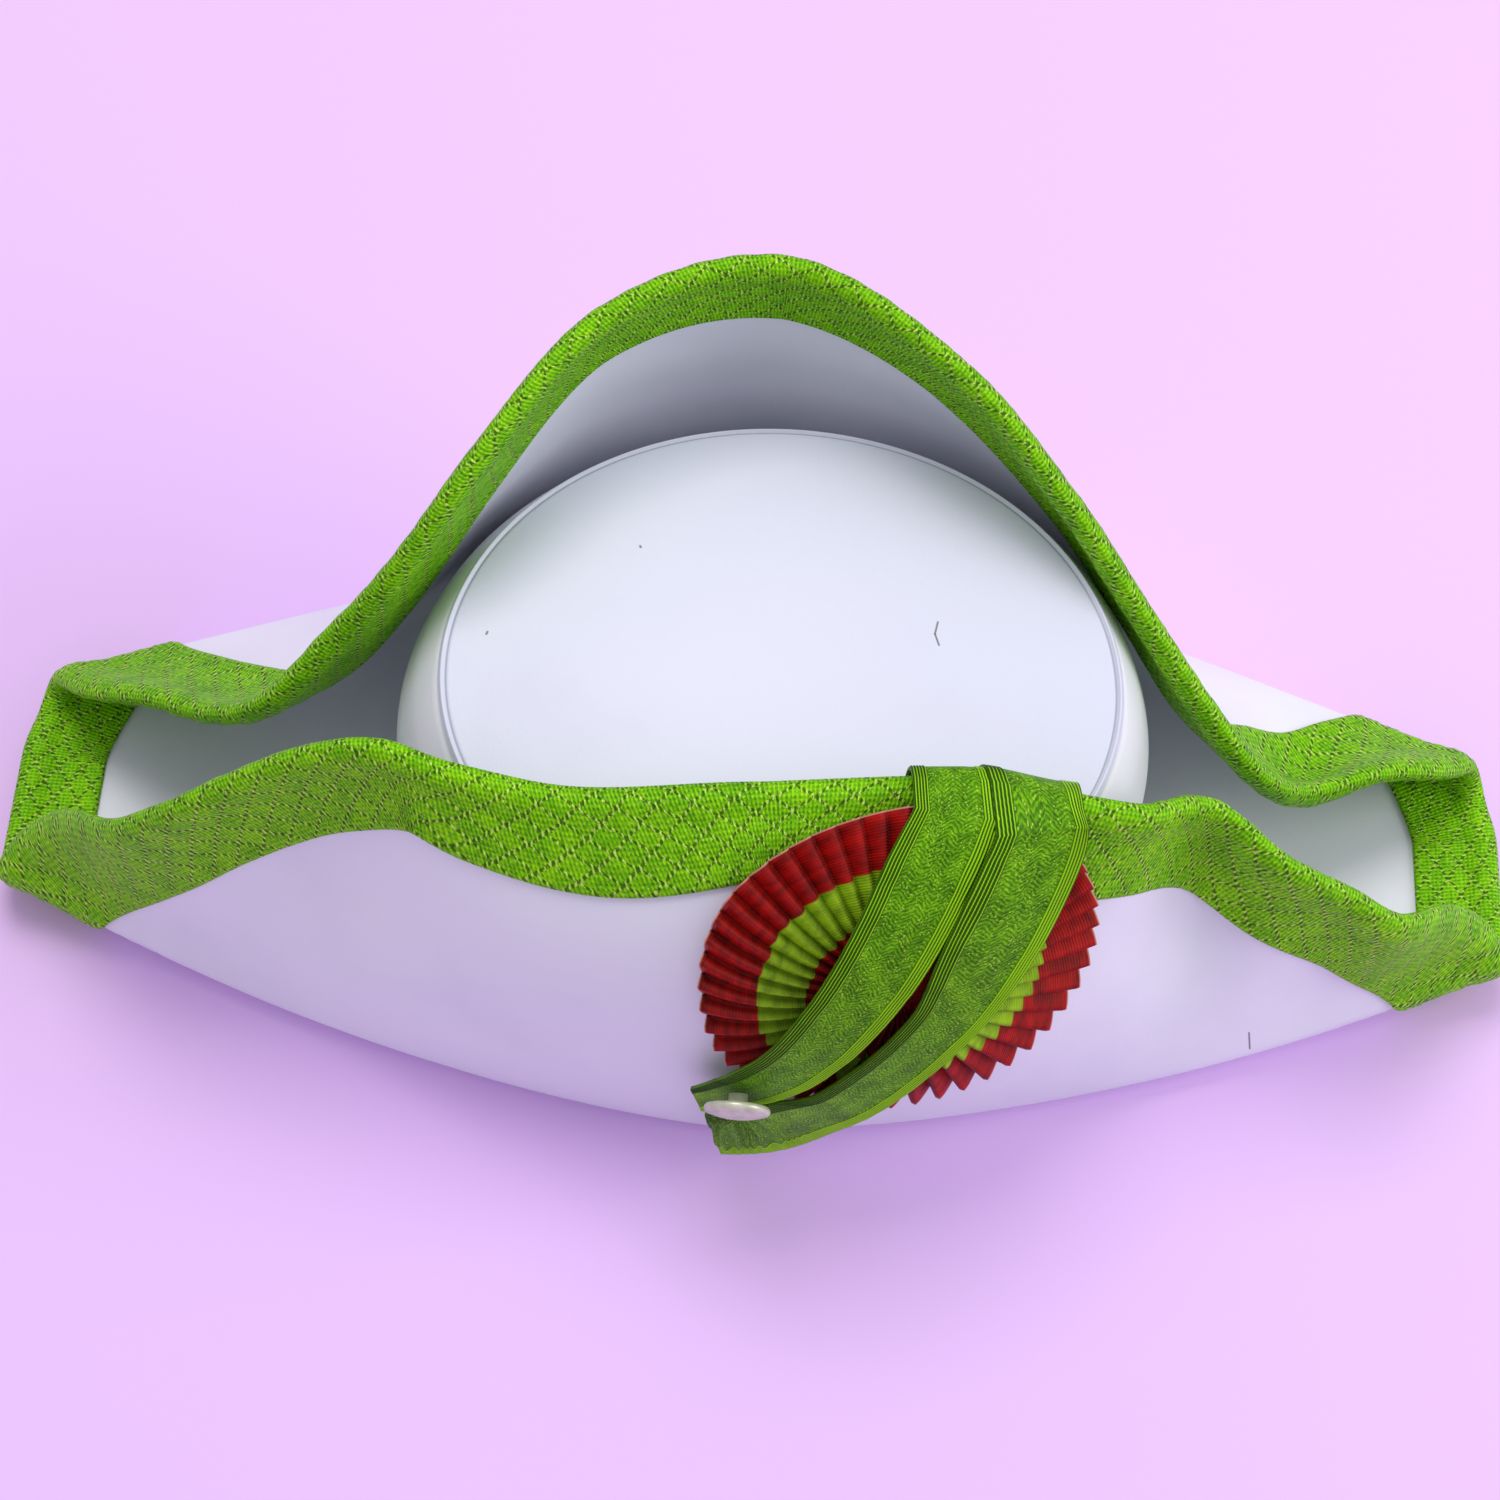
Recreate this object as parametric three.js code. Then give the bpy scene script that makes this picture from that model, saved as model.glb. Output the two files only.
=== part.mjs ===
// Ceremonial cocked hat (bicorne) lying on its brim: white smooth brim and crown,
// green metallic lace, a pleated striped cockade, a lace loop and a button.
// Units are millimetres, +Z is up, +X runs along the hat's length and -Y is its
// front, where the cockade is.
//
// The brim is one sheet. It is described flat first: x runs along the hat and w
// across it, w below zero on the front side. brimPoint folds a flat place up into
// space, and everything sewn to the brim is placed by the same function.

import * as THREE from 'three';
import { mergeVertices } from 'three/addons/utils/BufferGeometryUtils.js';

// Driving sizes

const HALF_LENGTH = 220;
const HALF_DEPTH_MIDDLE = 96;
const BASE_ENDS = {
  front: { halfDepth: 35, fullness: 1.61 },
  back: { halfDepth: 24, fullness: 1.45 },
};
const BRIM_THICKNESS = 2.4;
const FOLD_RADIUS = 8;
const FLAT_BASE_HALF_LENGTH = 110;
const END_LIFT = 9;
const GAP = 0.35;

const HEAD_OPENING = { halfLength: 99.4, halfDepth: 83.9 };
const CROWN_WALL = 2.2;
const CROWN_LEAN_SIDEWAYS = 4;
const CROWN_HEIGHT = 98.2;
const TIP = { thickness: 2, rise: 3.2, bevel: 1.2 };

const LACE = { width: 22, thickness: 1, beadRadius: 3.6, beadReach: 2.4 };
const COCKADE = {
  x: 37.9,
  w: -183.7,
  threadSlope: 0.217,
  radius: 48.9,
  holeRadius: 4,
  pleats: 48,
  pleatDepth: 4,
  ribbon: 1,
  standOff: 4.1,
};
const LOOP = { thickness: 1.2 };
const BUTTON = {
  x: -0.3,
  w: -155.5,
  radius: 8.9,
  tiltDegrees: 16,
  thickness: 2.2,
  dome: 1.4,
  rimShare: 0.94,
  shankRadius: 2.6,
  shankFoot: 11.1,
  standOff: 14.2,
};

// One row for each cross section of a turned-up flap. Slant is the way along the
// flap from where the floor starts to fold up to the edge. The leans are degrees
// from upright, positive towards the middle of the hat, just past the fold, half
// way up and at the edge.
const FLAP_COLUMNS = ['x', 'slant', 'leanFold', 'leanMiddle', 'leanEdge'];

const FRONT_FLAP = table(FLAP_COLUMNS, [
  [-220, 14, 45, 45, 50],
  [-200, 42, 34, 20, 32],
  [-180, 68, 24, 0, 12],
  [-160, 91, 20, 6, 4],
  [-140, 109, 14, 18, 4],
  [-120, 124, 8, 26, 8],
  [-100, 134, 0, 28, 18],
  [-80, 133, -4, 22, 38],
  [-50, 137, -6, 14, 62],
  [0, 155, -7, 9, 76],
  [50, 151, -7, 13, 68],
  [80, 134, -5, 22, 44],
  [100, 125, 1, 30, 18],
  [120, 115, 12, 40, 4],
  [140, 99, 15, 22, 6],
  [160, 84, 22, 8, 6],
  [180, 67, 24, -8, 12],
  [200, 42, 33, 10, 30],
  [220, 14, 45, 40, 50],
]);

const BACK_FLAP = table(FLAP_COLUMNS, [
  [-220, 1, 60, 52, 56],
  [-200, 36, 60, 46, 44],
  [-180, 60, 60, 47, 36],
  [-160, 81, 54, 57, 34],
  [-140, 103, 45, 61, 19],
  [-120, 119, 38, 54, -4],
  [-100, 134, 26, 37, 8],
  [-80, 148, 17, 16, 20],
  [-50, 154, 4, -2, 14],
  [0, 152, 0, -5, 2],
  [50, 145, 6, -1, 22],
  [80, 129, 15, 9, 32],
  [100, 118, 22, 29, 25],
  [120, 110, 36, 52, 10],
  [140, 99, 42, 67, 22],
  [160, 76, 62, 77, 14],
  [180, 56, 60, 52, 34],
  [200, 35, 60, 42, 42],
  [220, 1, 60, 50, 54],
]);

// The crown's side wall, one row for each level: half length and half depth.
const CROWN_PROFILE = table(['z', 'halfLength', 'halfDepth'], [
  [BRIM_THICKNESS + GAP, 102, 86.5],
  [25, 104.5, 88.5],
  [50, 106, 90],
  [70, 105.5, 89.5],
  [86, 101, 86],
  [94, 96.5, 82.6],
  [CROWN_HEIGHT, 93.3, 80],
]);

// The loop's two strips, one row for each place along the middle line: x and w in
// the flat brim, how far the strip stands off the brim's middle surface, its width, and
// how far its section is turned from square to the middle line, in degrees.
const STRIP_COLUMNS = ['x', 'w', 'standOff', 'width', 'turn'];

const LEFT_STRIP = table(STRIP_COLUMNS, [
  [47.6, -227, 10.8, 22.8, 0],
  [42.6, -217.5, 10.8, 25.2, 0],
  [37, -207, 10.8, 24.4, 0],
  [29.8, -194.6, 10.8, 23.2, 0],
  [22, -182.8, 10.8, 21.4, 0],
  [14.8, -172.6, 11, 20.2, 0],
  [7.8, -163.6, 10.9, 19.6, 0],
  [0.2, -154.6, 9.8, 16.6, 10],
  [-11, -143, 8.4, 13, 33],
]);

const RIGHT_STRIP = table(STRIP_COLUMNS, [
  [70.3, -212.6, 11.6, 26.6, 0],
  [67.8, -207, 11.4, 27.2, 0],
  [62.9, -197.6, 11, 26.6, 0],
  [57.1, -187.2, 10.8, 25.4, 0],
  [50.6, -176.2, 10.8, 22.8, 0],
  [43.7, -167.4, 10.8, 22.4, 0],
  [35.7, -156.8, 10.8, 22.8, 0],
  [25.8, -144.8, 10.9, 23.4, 0],
  [15.1, -135.4, 9.8, 29.4, 8],
  [3, -123.2, 9, 37.2, 23],
  [-6.4, -116.5, 8.6, 36.2, 28],
]);

// How a strip turns over the flap's edge and is tucked in behind it, one row for
// each place: how far beyond the edge, and the stand-off from the middle surface.
const TUCK = table(['beyond', 'standOff'], [
  [-12, -4],
  [0, -4.8],
  [3.2, -3.6],
  [4.3, 0],
  [3.6, 4.8],
  [0, 8.6],
]);

// Steps of the faceted surfaces

const RIM_STEPS = { flap: 25, corner: 3, end: 4 };
const LACE_ROWS = [4, 3, 2, 1, 0].map((row) => (LACE.width * row) / 4);
const CORNER_CUT = 12;
const SECTION_SAMPLES = 40;
const NORMAL_REACH = 0.8;
const FLAP_ROWS = 5;
const HALVINGS = 24;
// Where a line across the brim folds up, as shares of the line's length: the
// furthest that its fold may start, and the widest span that the fold may take.
const LATEST_FOLD = 0.7;
const WIDEST_FOLD = 0.15;
const FOLD_SPAN_IN_RADII = 1.7;
const CROWN_STEPS = 36;
const TIP_STEPS = 32;
const BUTTON_STEPS = 16;

// Small helpers

function table(columns, rows) {
  return rows.map((row) => Object.fromEntries(columns.map((name, i) => [name, row[i]])));
}

/** Value of a table's column between its rows, on a smooth curve through them. */
function between(rows, key, name, at) {
  const last = rows.length - 1;
  const place = THREE.MathUtils.clamp(at, rows[0][key], rows[last][key]);
  let i = 0;
  while (i < last - 1 && place >= rows[i + 1][key]) i += 1;
  const slope = (a, b) => (rows[b][name] - rows[a][name]) / (rows[b][key] - rows[a][key]);
  const slopeAt = (j) => slope(Math.max(j - 1, 0), Math.min(j + 1, last));
  const step = rows[i + 1][key] - rows[i][key];
  const t = (place - rows[i][key]) / step;
  return (2 * t ** 3 - 3 * t ** 2 + 1) * rows[i][name]
    + (t ** 3 - 2 * t ** 2 + t) * step * slopeAt(i)
    + (3 * t ** 2 - 2 * t ** 3) * rows[i + 1][name]
    + (t ** 3 - t ** 2) * step * slopeAt(i + 1);
}

/** Closed solid through loops of points; each four-sided face is split the short way. */
function loft(loops, { ring = true } = {}) {
  const size = loops[0].length;
  const points = loops.flat();
  const index = [];
  const spans = ring ? loops.length : loops.length - 1;
  for (let i = 0; i < spans; i += 1) {
    const a = i * size;
    const b = ((i + 1) % loops.length) * size;
    for (let j = 0; j < size; j += 1) {
      const k = (j + 1) % size;
      const rising = points[a + j].distanceTo(points[b + k]);
      const falling = points[a + k].distanceTo(points[b + j]);
      if (rising < falling) index.push(a + j, b + j, b + k, a + j, b + k, a + k);
      else index.push(a + j, b + j, a + k, b + j, b + k, a + k);
    }
  }
  if (!ring) {
    const end = (loops.length - 1) * size;
    for (let j = 0; j < size / 2 - 1; j += 1) {
      const k = size - 1 - j;
      index.push(j, j + 1, k - 1, j, k - 1, k);
      index.push(end + j, end + k - 1, end + j + 1, end + j, end + k, end + k - 1);
    }
  }
  const geometry = new THREE.BufferGeometry();
  const numbers = points.flatMap((point) => point.toArray());
  geometry.setAttribute('position', new THREE.Float32BufferAttribute(numbers, 3));
  geometry.setIndex(index);
  return facingOut(geometry);
}

/** The same closed surface with its triangles turned to face outwards. */
function facingOut(geometry) {
  const at = geometry.attributes.position;
  const index = Array.from(geometry.index.array);
  const [a, b, c] = [new THREE.Vector3(), new THREE.Vector3(), new THREE.Vector3()];
  let volume = 0;
  for (let i = 0; i < index.length; i += 3) {
    a.fromBufferAttribute(at, index[i]);
    b.fromBufferAttribute(at, index[i + 1]);
    c.fromBufferAttribute(at, index[i + 2]);
    volume += a.dot(b.cross(c));
  }
  if (volume < 0) {
    for (let i = 0; i < index.length; i += 3) {
      [index[i], index[i + 1]] = [index[i + 1], index[i]];
    }
    geometry.setIndex(index);
  }
  geometry.computeVertexNormals();
  return geometry;
}

/** Section loop from an outer and an inner row of points of equal length. */
function sectionLoop(outer, inner) {
  return [...outer, ...[...inner].reverse()];
}

function piece(name, geometry, { color, roughness, metalness = 0 }) {
  const material = new THREE.MeshStandardMaterial({ color, roughness, metalness });
  const mesh = new THREE.Mesh(geometry, material);
  mesh.name = name;
  return mesh;
}

// The folded brim

function halfDepth(x, side) {
  const end = side < 0 ? BASE_ENDS.front : BASE_ENDS.back;
  const fall = 1 - Math.abs(x / HALF_LENGTH) ** end.fullness;
  return end.halfDepth + (HALF_DEPTH_MIDDLE - end.halfDepth) * fall;
}

function floorHeight(x) {
  const past = Math.max(Math.abs(x) - FLAT_BASE_HALF_LENGTH, 0);
  const share = past / (HALF_LENGTH - FLAT_BASE_HALF_LENGTH);
  return BRIM_THICKNESS / 2 + END_LIFT * share ** 2;
}

/** Flat distance from the middle line to where the floor starts to fold up. */
function foldStart(x, side) {
  return halfDepth(x, side) - FOLD_RADIUS;
}

function flapOf(side) {
  return side < 0 ? FRONT_FLAP : BACK_FLAP;
}

function rimDistance(x, side) {
  return foldStart(x, side) + between(flapOf(side), 'x', 'slant', x);
}

/** Lean in degrees from upright at each way past the fold start; the floor is -90. */
function leanProfile(x, side) {
  const rows = flapOf(side);
  const fold = between(rows, 'x', 'leanFold', x);
  const middle = between(rows, 'x', 'leanMiddle', x);
  const edge = between(rows, 'x', 'leanEdge', x);
  const slant = between(rows, 'x', 'slant', x);
  const foldEnd = FOLD_RADIUS * THREE.MathUtils.degToRad(90 + fold);
  const half = Math.max((foldEnd + slant) / 2, foldEnd + 1);
  const full = Math.max(slant, half + 1);
  return (way) => {
    if (way < 0) return -90;
    if (way < foldEnd) return -90 + (90 + fold) * (way / foldEnd);
    if (way < half) return fold + (middle - fold) * ((way - foldEnd) / (half - foldEnd));
    return middle + (edge - middle) * Math.min((way - half) / (full - half), 1);
  };
}

/** Point of the brim's middle surface at the flat place (x, w). */
function brimPoint(x, w) {
  const side = w < 0 ? -1 : 1;
  const start = foldStart(x, side);
  const way = Math.abs(w) - start;
  if (way <= 0) return new THREE.Vector3(x, w, floorHeight(x));
  const lean = leanProfile(x, side);
  let inward = 0;
  let upward = 0;
  for (let i = 0; i < SECTION_SAMPLES; i += 1) {
    const angle = THREE.MathUtils.degToRad(lean((way * (i + 0.5)) / SECTION_SAMPLES));
    inward += (Math.sin(angle) * way) / SECTION_SAMPLES;
    upward += (Math.cos(angle) * way) / SECTION_SAMPLES;
  }
  return new THREE.Vector3(x, side * (start - inward), floorHeight(x) + upward);
}

/** Unit vector out of the brim's outer face (its underside where it is flat). */
function outerNormal(x, w) {
  const alongX = brimPoint(x + NORMAL_REACH, w).sub(brimPoint(x - NORMAL_REACH, w));
  const alongW = brimPoint(x, w + NORMAL_REACH).sub(brimPoint(x, w - NORMAL_REACH));
  return alongW.cross(alongX).normalize();
}

/** Point that stands off the brim's middle surface on its outer side. */
function offBrim(x, w, distance) {
  return brimPoint(x, w).addScaledVector(outerNormal(x, w), distance);
}

/** Flat places round the brim's edge, each with its inward direction. */
function rimPlaces() {
  const places = [];
  const reach = HALF_LENGTH - CORNER_CUT;
  const flat = (x, w) => new THREE.Vector2(x, w);
  const flap = (side, from, to) => {
    for (let i = 0; i <= RIM_STEPS.flap; i += 1) {
      const x = from + ((to - from) * i) / RIM_STEPS.flap;
      places.push(flat(x, side * rimDistance(x, side)));
    }
  };
  const corner = (a, b, c) => {
    for (let i = 1; i <= RIM_STEPS.corner; i += 1) {
      const t = i / (RIM_STEPS.corner + 1);
      places.push(a.clone().lerp(b, t).lerp(b.clone().lerp(c, t), t));
    }
  };
  const end = (x, from, to) => {
    for (let i = 0; i <= RIM_STEPS.end; i += 1) {
      places.push(flat(x, from + ((to - from) * i) / RIM_STEPS.end));
    }
  };
  const turn = (x, side) => [
    flat(Math.sign(x) * reach, side * rimDistance(reach * Math.sign(x), side)),
    flat(x, side * rimDistance(x, side)),
    flat(x, side * (rimDistance(x, side) - CORNER_CUT)),
  ];
  const [right, left] = [HALF_LENGTH, -HALF_LENGTH];
  const [frontRight, backRight] = [turn(right, -1), turn(right, 1)];
  const [backLeft, frontLeft] = [turn(left, 1), turn(left, -1)];
  flap(-1, -reach, reach);
  corner(...frontRight);
  end(right, frontRight[2].y, backRight[2].y);
  corner(...backRight.reverse());
  flap(1, reach, -reach);
  corner(...backLeft);
  end(left, backLeft[2].y, frontLeft[2].y);
  corner(...frontLeft.reverse());
  return places.map((place, i) => {
    const before = places[(i + places.length - 1) % places.length];
    const after = places[(i + 1) % places.length];
    const along = after.clone().sub(before).normalize();
    return { place, inward: new THREE.Vector2(-along.y, along.x) };
  });
}

function inFrom({ place, inward }, distance) {
  return place.clone().addScaledVector(inward, distance);
}

// The pieces

/** Flat places of one line across the brim, from the head opening to the rim. */
function brimLine(station) {
  const { halfLength, halfDepth: depth } = HEAD_OPENING;
  const angle = Math.atan2(station.place.y, station.place.x);
  const from = new THREE.Vector2(halfLength * Math.cos(angle), depth * Math.sin(angle));
  const to = inFrom(station, LACE.width);
  const past = (t) => {
    const p = from.clone().lerp(to, t);
    return Math.abs(p.y) - foldStart(p.x, p.y < 0 ? -1 : 1);
  };
  let [low, high] = [0, 1];
  for (let i = 0; i < HALVINGS; i += 1) {
    const t = (low + high) / 2;
    if (past(t) < 0) low = t;
    else high = t;
  }
  const length = from.distanceTo(to);
  const fold = Math.min(low, LATEST_FOLD);
  const foldSpan = Math.min((FOLD_RADIUS * FOLD_SPAN_IN_RADII) / length, WIDEST_FOLD);
  const shares = [0, fold / 2, fold, fold + foldSpan / 3, fold + (foldSpan * 2) / 3];
  const flapFrom = fold + foldSpan;
  for (let i = 0; i < FLAP_ROWS; i += 1) shares.push(flapFrom + ((1 - flapFrom) * i) / FLAP_ROWS);
  const line = shares.map((t) => from.clone().lerp(to, t));
  return [...line, ...LACE_ROWS.map((distance) => inFrom(station, distance))];
}

function brim(rim) {
  const half = BRIM_THICKNESS / 2;
  return loft(rim.map((station) => {
    const line = brimLine(station);
    return sectionLoop(
      line.map((p) => offBrim(p.x, p.y, half)),
      line.map((p) => offBrim(p.x, p.y, -half)),
    );
  }));
}

/** The edge lace: a sleeve folded over the rim with a padded bead along it. */
function edgeLace(rim) {
  const inner = BRIM_THICKNESS / 2 + GAP;
  const outer = inner + LACE.thickness;
  const { beadRadius, beadReach } = LACE;
  const flat = LACE_ROWS.slice(0, -1);
  const skin = [
    ...flat.map((distance) => [distance, outer]),
    [beadReach, beadRadius],
    [-beadReach / 2, beadRadius * 0.8],
  ];
  const lining = [...LACE_ROWS.map((distance) => [distance, inner]), [-GAP, inner]];
  const mirrored = (rows) => [...rows].reverse().map(([distance, side]) => [distance, -side]);
  const outside = [...skin, [-beadReach, 0], ...mirrored(skin)];
  const inside = [...lining, [-GAP, 0], ...mirrored(lining)];
  return loft(rim.map((station) => {
    const points = (rows) => rows.map(([distance, side]) => {
      const p = inFrom(station, distance);
      return offBrim(p.x, p.y, side);
    });
    return sectionLoop(points(outside), points(inside));
  }));
}

function crownPoint(row, angle, inset = 0) {
  const shift = (CROWN_LEAN_SIDEWAYS * row.z) / CROWN_HEIGHT;
  return new THREE.Vector3(
    shift + (row.halfLength - inset) * Math.cos(angle),
    (row.halfDepth - inset) * Math.sin(angle),
    row.z,
  );
}

function crownSide() {
  const loops = [];
  for (let i = 0; i < CROWN_STEPS; i += 1) {
    const angle = (2 * Math.PI * i) / CROWN_STEPS;
    loops.push(sectionLoop(
      CROWN_PROFILE.map((row) => crownPoint(row, angle)),
      CROWN_PROFILE.map((row) => crownPoint(row, angle, CROWN_WALL)),
    ));
  }
  return loft(loops);
}

/** The crown's flat top panel: a low dome as a turned disc, stretched to an oval. */
function crownTip() {
  const { halfLength, halfDepth: depth } = CROWN_PROFILE.at(-1);
  const base = CROWN_HEIGHT + GAP;
  const { thickness, rise, bevel } = TIP;
  const domeAt = (share) => base + rise * (1 - share ** 2);
  const shares = [0, 0.35, 0.65, 0.9];
  const profile = [
    ...shares.map((share) => new THREE.Vector2(share, domeAt(share))),
    new THREE.Vector2(1, base),
    new THREE.Vector2(1, base + thickness - bevel),
    new THREE.Vector2(1 - bevel / depth, base + thickness),
    ...[...shares].reverse().map((share) => new THREE.Vector2(share, domeAt(share) + thickness)),
  ];
  const geometry = new THREE.LatheGeometry(profile, TIP_STEPS);
  geometry.rotateX(Math.PI / 2);
  geometry.scale(halfLength, depth, 1);
  geometry.translate(CROWN_LEAN_SIDEWAYS, 0, 0);
  return closed(geometry);
}

/** A three.js primitive with its seam merged and its empty triangles left out. */
function closed(source) {
  const bare = source.clone();
  bare.deleteAttribute('normal');
  bare.deleteAttribute('uv');
  const merged = mergeVertices(bare, 1e-3);
  const index = Array.from(merged.index.array);
  const kept = [];
  for (let i = 0; i < index.length; i += 3) {
    const [a, b, c] = index.slice(i, i + 3);
    if (a !== b && b !== c && c !== a) kept.push(a, b, c);
  }
  merged.setIndex(kept);
  return facingOut(merged);
}

/**
 * The cockade's striped ribbon, pleated into a disc that follows the front flap. The
 * flap's threads slope there, so the disc's outline is sheared in the flat places.
 */
function cockadeRibbon() {
  const { x, w, threadSlope, radius, holeRadius } = COCKADE;
  const { pleats, pleatDepth, ribbon, standOff } = COCKADE;
  const radii = [holeRadius, radius * 0.4, radius * 0.7, radius];
  const loops = [];
  for (let i = 0; i < 2 * pleats; i += 1) {
    const angle = (Math.PI * i) / pleats;
    const raised = i % 2 === 1;
    const row = (lift) => radii.map((r) => {
      const depth = raised ? (pleatDepth * r) / radius : 0;
      const along = r * Math.cos(angle);
      const across = r * Math.sin(angle) + threadSlope * along;
      return offBrim(x + along, w + across, standOff + depth + lift);
    });
    loops.push(sectionLoop(row(ribbon), row(0)));
  }
  return loft(loops);
}

/** One strip of the loop: a flat band, tucked behind the edge, along its middle line. */
function loopStrip(rows) {
  const half = LOOP.thickness / 2;
  const places = (width) => [-width / 2, 0, width / 2];
  const acrossAt = (i) => {
    const before = rows[Math.max(i - 1, 0)];
    const after = rows[Math.min(i + 1, rows.length - 1)];
    return new THREE.Vector2(before.w - after.w, after.x - before.x)
      .normalize()
      .rotateAround(new THREE.Vector2(), THREE.MathUtils.degToRad(rows[i].turn));
  };
  const tucked = TUCK.map(({ beyond, standOff }, i) => {
    const before = TUCK[Math.max(i - 1, 0)];
    const after = TUCK[Math.min(i + 1, TUCK.length - 1)];
    const out = new THREE.Vector2(
      after.standOff - before.standOff,
      before.beyond - after.beyond,
    ).setLength(half);
    const face = (sign) => places(rows[0].width).map((d) => {
      const x = rows[0].x + acrossAt(0).x * d;
      const past = beyond + sign * out.x;
      return offBrim(x, -rimDistance(x, -1) - past, standOff + sign * out.y);
    });
    return sectionLoop(face(1), face(-1));
  });
  const lying = rows.map((row, i) => {
    const across = acrossAt(i);
    const face = (sign) => places(row.width).map((d) => (
      offBrim(row.x + across.x * d, row.w + across.y * d, row.standOff + sign * half)
    ));
    return sectionLoop(face(1), face(-1));
  });
  return loft([...tucked, ...lying], { ring: false });
}

/** The button: a slightly domed disc on a short shank, hanging a little forwards. */
function button() {
  const { x, w, radius, tiltDegrees, thickness, dome } = BUTTON;
  const { rimShare, shankRadius, shankFoot, standOff } = BUTTON;
  const foot = shankFoot - standOff;
  const profile = [
    [0, foot],
    [shankRadius, foot],
    [shankRadius, 0],
    [radius * rimShare, 0],
    [radius, thickness * 0.4],
    [radius * rimShare, thickness],
    [radius * 0.5, thickness + dome * 0.75],
    [0, thickness + dome],
  ].map(([r, y]) => new THREE.Vector2(r, y));
  const geometry = closed(new THREE.LatheGeometry(profile, BUTTON_STEPS));
  const lathed = new THREE.Vector3(0, 1, 0);
  const facing = outerNormal(x, w);
  facing.applyAxisAngle(new THREE.Vector3(1, 0, 0), THREE.MathUtils.degToRad(tiltDegrees));
  geometry.applyQuaternion(new THREE.Quaternion().setFromUnitVectors(lathed, facing));
  const place = offBrim(x, w, standOff);
  geometry.translate(place.x, place.y, place.z);
  return geometry;
}

// Assembly

const WHITE = { color: 0xe9e6f2, roughness: 0.42 };
const GREEN_LACE = { color: 0x6fbf1f, roughness: 0.4, metalness: 0.35 };
const RED_RIBBON = { color: 0x8f0f0a, roughness: 0.5 };
const PEARL = { color: 0xd9d7cf, roughness: 0.25, metalness: 0.2 };

const rim = rimPlaces();
const pieces = [
  piece('brim', brim(rim), WHITE),
  piece('edge_lace', edgeLace(rim), GREEN_LACE),
  piece('crown_side', crownSide(), WHITE),
  piece('crown_tip', crownTip(), WHITE),
  piece('cockade_ribbon', cockadeRibbon(), RED_RIBBON),
  piece('loop_left_strip', loopStrip(LEFT_STRIP), GREEN_LACE),
  piece('loop_right_strip', loopStrip(RIGHT_STRIP), GREEN_LACE),
  piece('button', button(), PEARL),
];

const hat = new THREE.Group();
hat.add(...pieces);

// The origin is the middle of the underside of the whole hat.
const bounds = new THREE.Box3().setFromObject(hat);
const middle = bounds.getCenter(new THREE.Vector3());
hat.position.set(-middle.x, -middle.y, -bounds.min.z);

const part = new THREE.Group();
part.add(hat);

export default part;
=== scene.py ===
"""Ceremonial cocked hat: its white cover, green lace, pleated cockade, lace loop and button."""

import logging
import math
from collections.abc import Callable
from dataclasses import dataclass
from enum import Enum

import bmesh
import bpy
import numpy as np
from mathutils import Matrix, Vector


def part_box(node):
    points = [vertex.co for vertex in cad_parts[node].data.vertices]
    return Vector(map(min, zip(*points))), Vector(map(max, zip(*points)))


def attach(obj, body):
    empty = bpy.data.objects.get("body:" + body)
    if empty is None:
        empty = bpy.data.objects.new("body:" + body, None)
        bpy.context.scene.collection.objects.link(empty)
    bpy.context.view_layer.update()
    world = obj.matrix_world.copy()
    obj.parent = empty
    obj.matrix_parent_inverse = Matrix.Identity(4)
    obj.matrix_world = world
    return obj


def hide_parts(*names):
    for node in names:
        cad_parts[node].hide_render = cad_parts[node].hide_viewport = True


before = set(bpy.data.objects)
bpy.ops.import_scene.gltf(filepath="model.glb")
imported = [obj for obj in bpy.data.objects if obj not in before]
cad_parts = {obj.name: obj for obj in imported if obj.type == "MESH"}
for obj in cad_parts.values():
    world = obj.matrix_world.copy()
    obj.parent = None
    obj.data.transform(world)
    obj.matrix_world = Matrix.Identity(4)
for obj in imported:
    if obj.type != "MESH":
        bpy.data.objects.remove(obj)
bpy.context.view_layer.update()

LOG = logging.getLogger("hat")
MM = 0.001
BODY = "root"
MERGE_DISTANCE = 1e-6
UV_UNIT = 10.0  # The uv maps are in centimetres.


# The brim's shape. All design sizes are millimetres, with +Z up, +X along the hat
# and -Y out of the front flap, where the cockade is.

FLAP_COLUMNS = ("x", "slant", "lean_fold", "lean_middle", "lean_edge")

FRONT_FLAP = (
    (-220, 14, 45, 45, 50),
    (-200, 42, 34, 20, 32),
    (-180, 68, 24, 0, 12),
    (-160, 91, 20, 6, 4),
    (-140, 109, 14, 18, 4),
    (-120, 124, 8, 26, 8),
    (-100, 134, 0, 28, 18),
    (-80, 133, -4, 22, 38),
    (-50, 137, -6, 14, 62),
    (0, 155, -7, 9, 76),
    (50, 151, -7, 13, 68),
    (80, 134, -5, 22, 44),
    (100, 125, 1, 30, 18),
    (120, 115, 12, 40, 4),
    (140, 99, 15, 22, 6),
    (160, 84, 22, 8, 6),
    (180, 67, 24, -8, 12),
    (200, 42, 33, 10, 30),
    (220, 14, 45, 40, 50),
)

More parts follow.
